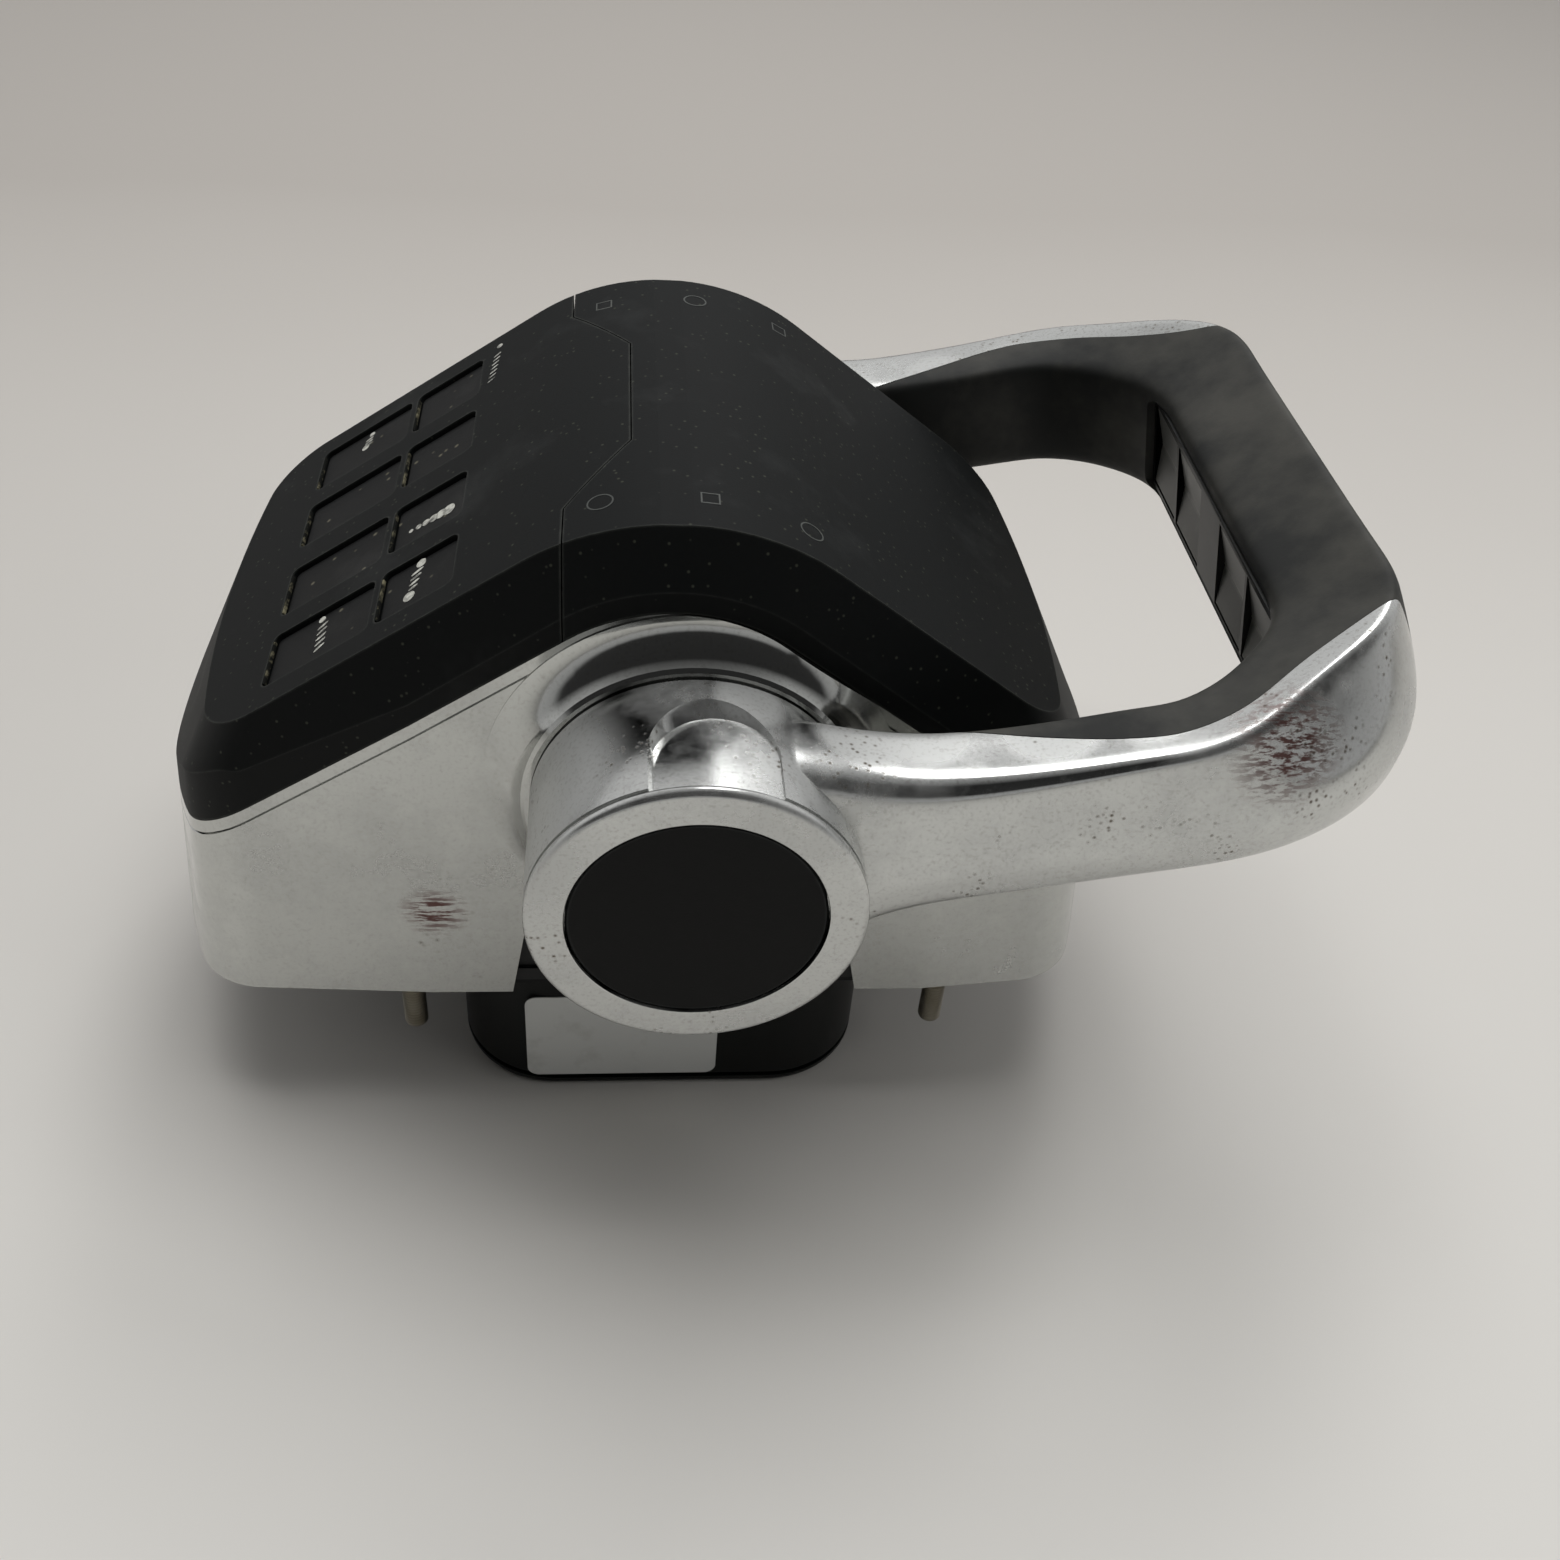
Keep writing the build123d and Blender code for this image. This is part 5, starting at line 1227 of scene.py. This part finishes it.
@dataclass
class MountingStuds:
    """Four steel studs with a rolled M6 thread that hang through the dash."""

    palette: Palette
    across_x: float = 68.0
    across_y: float = 49.0
    crest_r: float = 3.0
    root_r: float = 2.4
    pitch: float = 1.0
    tip_z: float = -28.0
    shank_z: float = -1.6
    head_z: float = 13.4
    root_sleeve_r: float = 3.6
    chamfer: float = 0.9
    tip_share: float = 0.74
    steps: int = 28
    sleeve_steps: int = 36

    def build(self) -> None:
        """Make one stud and set it in four places."""
        bm = bmesh.new()
        self._thread(bm)
        self._shank(bm)
        one = everything(bm)
        for x, y in ((-1, 1), (1, -1), (1, 1)):
            twin = bmesh.ops.duplicate(bm, geom=one)["geom"]
            bmesh.ops.translate(bm, verts=verts_of(twin), vec=(x * self.across_x, y * self.across_y, 0.0))
        bmesh.ops.translate(bm, verts=verts_of(one), vec=(-self.across_x, -self.across_y, 0.0))
        bmesh.ops.recalc_face_normals(bm, faces=bm.faces[:])
        # the studs' steel carries painted light: it is lighter than the other steel so the shaded studs show
        finish("studs_threaded", baked(as_object("studs", bm)), Matrix.Scale(MM, 4), self.palette.stud,
               Body.CONSOLE, ("mounting_studs",))

    def _thread(self, bm: BMesh) -> None:
        """Helical thread: one pitch of its profile wound up the stud, cut square at both ends.

        Args:
            bm: the bmesh that gets it.
        """
        turns = int((self.shank_z - self.tip_z) / self.pitch) + 3
        flank = (self.pitch - self.pitch / 4 - self.pitch / 8) / 2
        rises = ((self.root_r, 0.0), (self.crest_r, flank), (self.crest_r, flank + self.pitch / 8),
                 (self.root_r, 2 * flank + self.pitch / 8), (self.root_r, self.pitch))
        run = wire(bm, [(r, 0.0, self.tip_z - 1.5 * self.pitch + z) for r, z in rises])
        bmesh.ops.spin(bm, geom=run, cent=(0.0, 0.0, 0.0), axis=(0.0, 0.0, 1.0),
                       dvec=(0.0, 0.0, self.pitch / self.steps), angle=math.tau * turns,
                       steps=self.steps * turns, use_merge=False)
        bmesh.ops.remove_doubles(bm, verts=bm.verts[:], dist=0.002)
        for height, way in ((self.tip_z, -1.0), (self.shank_z, 1.0)):
            bmesh.ops.bisect_plane(bm, geom=everything(bm), plane_co=(0.0, 0.0, height), plane_no=(0.0, 0.0, way),
                                   clear_outer=True)
            rim = [e for e in bm.edges if e.is_boundary and all(abs(v.co.z - height) < 0.001 for v in e.verts)]
            bmesh.ops.holes_fill(bm, edges=rim, sides=0)
        # the chamfer at the tip pulls the last thread in
        for vert in (v for v in bm.verts if v.co.z < self.tip_z + self.chamfer):
            share = self.tip_share + (1.0 - self.tip_share) * (vert.co.z - self.tip_z) / self.chamfer
            vert.co.x *= share
            vert.co.y *= share

    def _shank(self, bm: BMesh) -> None:
        """Plain root of the stud above the thread, moulded into the chassis.

        Args:
            bm: the bmesh that gets it.
        """
        profile = ((0.0, self.shank_z), (self.root_r + 0.2, self.shank_z), (self.crest_r, self.shank_z + 0.4),
                   (self.crest_r, 1.0), (self.root_sleeve_r, 1.6), (self.root_sleeve_r, self.head_z),
                   (0.0, self.head_z))
        turned(bm, [(r, 0.0, z) for r, z in profile], (0.0, 0.0, 1.0), self.sleeve_steps)


# ------------------------------------------------------------------ studio
@dataclass
class Studio:
    """Table top, soft lamps and the camera."""

    floor_z: float = -0.042
    table_half: float = 4.0
    curl: float = 0.10
    curl_turn: float = 11.0
    curl_steps: int = 8
    lens_px: float = 1598.7
    frame_px: float = 1560.0
    sensor_mm: float = 36.0
    eye: tuple[float, float, float] = (-0.01654, -0.33076, 0.29879)
    azimuth: float = -7.73
    elevation: float = 40.52
    roll: float = 5.34

    def build(self) -> None:
        """Make the studio."""
        self._sweep()
        self._lamps()
        self._world()
        self._camera()

    def _sweep(self) -> None:
        """Pale table that curves up into a backdrop."""
        bm = bmesh.new()
        bmesh.ops.create_grid(bm, x_segments=2, y_segments=2, size=self.table_half)
        far = [e for e in bm.edges if all(v.co.y > self.table_half - 0.1 for v in e.verts)]
        for step in range(1, self.curl_steps + 1):
            grown = bmesh.ops.extrude_edge_only(bm, edges=far)["geom"]
            verts = verts_of(grown)
            turn = math.radians(self.curl_turn * step)
            bmesh.ops.translate(bm, verts=verts, vec=(0.0, self.curl * math.cos(turn), self.curl * math.sin(turn)))
            far = [g for g in grown if isinstance(g, BMEdge) and all(v in verts for v in g.verts)]
        bmesh.ops.recalc_face_normals(bm, faces=bm.faces[:])
        bmesh.ops.translate(bm, verts=bm.verts[:], vec=(0.0, 0.0, self.floor_z))
        table = as_object("table_sweep", bm)
        for face in table.data.polygons:
            face.use_smooth = True
        table.data.materials.append(self._table_material())

    def _table_material(self) -> Material:
        """Pale laminate with faint mottling, and painted shade that greys it towards the back.

        Returns:
            The finished material.
        """
        mat, tree, place = new_material("table_laminate_pale_painted_shade")
        cloud = add_node(tree, "ShaderNodeTexNoise", {"Scale": 3.0, "Detail": 3.0}, {"Vector": place})
        # painted shade: the colour is bright in front and greys off towards the back of the room, where less light
        # falls
        depth = add_node(tree, "ShaderNodeSeparateXYZ", links={"Vector": place})
        away = add_node(tree, "ShaderNodeMapRange", {"From Min": -0.30, "From Max": 0.60},
                        {"Value": depth.outputs["Y"]})
        mottle_and_painted_shade = add_node(tree, "ShaderNodeMath", {"operation": "MULTIPLY_ADD", 1: 0.10},
                           {0: cloud.outputs["Fac"], 2: away.outputs["Result"]})
        # the pale near colour, and the darker far colour that is painted shade
        tint = add_node(tree, "ShaderNodeMix",
                        {"data_type": "RGBA", 6: linear("#e6e4df"), 7: linear("#b5b0aa")},
                        {0: mottle_and_painted_shade.outputs["Value"]})
        shader = add_node(tree, "ShaderNodeBsdfPrincipled", {"Roughness": 0.6, "Specular IOR Level": 0.2},
                          {"Base Color": tint.outputs[2]})
        add_node(tree, "ShaderNodeOutputMaterial", links={"Surface": shader.outputs["BSDF"]})
        return mat

    def _lamps(self) -> None:
        """One window behind the object, a broad ceiling and a low side fill."""
        plan = (
            ("back_window", 18.0, 56.0, 1.5, (0.46, 0.48), 3.6),
            ("ceiling", 30.0, 82.0, 2.0, (1.8, 1.1), 24.0),
            ("side_fill", 112.0, 30.0, 2.2, (1.2, 0.9), 6.0))
        for name, azimuth, elevation, distance, size, power in plan:
            a, e = math.radians(azimuth), math.radians(elevation)
            place = distance * Vector((math.sin(a) * math.cos(e), math.cos(a) * math.cos(e), math.sin(e)))
            light = bpy.data.lights.new(name, "AREA")
            light.shape = "RECTANGLE"
            light.size, light.size_y = size
            light.energy = power
            lamp = linked(name, light)
            lamp.location = place
            lamp.rotation_mode = "QUATERNION"
            lamp.rotation_quaternion = (-place).to_track_quat("-Z", "Y")
            # plated surfaces show the window, while the broad fill lamps stay out of them
            lamp.visible_glossy = name == "back_window"

    def _world(self) -> None:
        """Room: pale wall behind, grey ceiling, dark towards the front."""
        world = bpy.data.worlds.new("plain_room")
        bpy.context.scene.world = world
        world.use_nodes = True
        tree = world.node_tree
        tree.nodes.clear()
        coords = add_node(tree, "ShaderNodeTexCoord")
        split = add_node(tree, "ShaderNodeSeparateXYZ", links={"Vector": coords.outputs["Generated"]})
        front = add_node(tree, "ShaderNodeValToRGB", links={"Fac": split.outputs["Z"]})
        set_stops(front, ((0.0, grey(0.44)), (0.14, grey(0.36)), (0.24, grey(0.035)), (0.9, grey(0.03))))
        back = add_node(tree, "ShaderNodeValToRGB", links={"Fac": split.outputs["Z"]})
        set_stops(back, ((0.0, grey(0.62)), (0.58, grey(0.78)), (0.70, grey(0.62)), (0.95, grey(0.34))))
        side = add_node(tree, "ShaderNodeMapRange", {"From Min": -0.25, "From Max": 0.35},
                        {"Value": split.outputs["Y"]})
        room = add_node(tree, "ShaderNodeMix", {"data_type": "RGBA"},
                        {0: side.outputs["Result"], 6: front.outputs["Color"], 7: back.outputs["Color"]})
        glow = add_node(tree, "ShaderNodeBackground", {"Strength": 1.0}, {"Color": room.outputs[2]})
        add_node(tree, "ShaderNodeOutputWorld", links={"Surface": glow.outputs["Background"]})

    def _camera(self) -> None:
        """Camera at the viewing angle of the record picture."""
        a, e, r = (math.radians(v) for v in (self.azimuth, self.elevation, self.roll))
        back = Vector((math.sin(a) * math.cos(e), -math.cos(a) * math.cos(e), math.sin(e)))
        side = Vector((math.cos(a), math.sin(a), 0.0))
        up = back.cross(side)
        right = math.cos(r) * side + math.sin(r) * up
        top = -math.sin(r) * side + math.cos(r) * up
        data = bpy.data.cameras.new("view")
        data.sensor_fit = "HORIZONTAL"
        data.sensor_width = self.sensor_mm
        data.lens = self.sensor_mm * self.lens_px / self.frame_px
        data.clip_start = 0.01
        data.clip_end = 20.0
        camera = linked("view", data)
        turn = Matrix((right, top, back)).transposed().to_4x4()
        camera.matrix_world = Matrix.Translation(self.eye) @ turn
        bpy.context.scene.camera = camera


def main() -> None:
    """Build the dressed throttle and its studio."""
    logging.basicConfig(level=logging.INFO, format="%(name)s: %(message)s")
    bpy.context.scene.view_settings.view_transform = "Standard"
    palette = Palette()
    Dresser(palette).dress_all()
    for assembly in (Bail(palette), Keypad(palette), HumpMarks(palette), Rockers(palette),
                     MountingStuds(palette)):
        assembly.build()
    Studio().build()


if __name__ == "__main__":
    main()
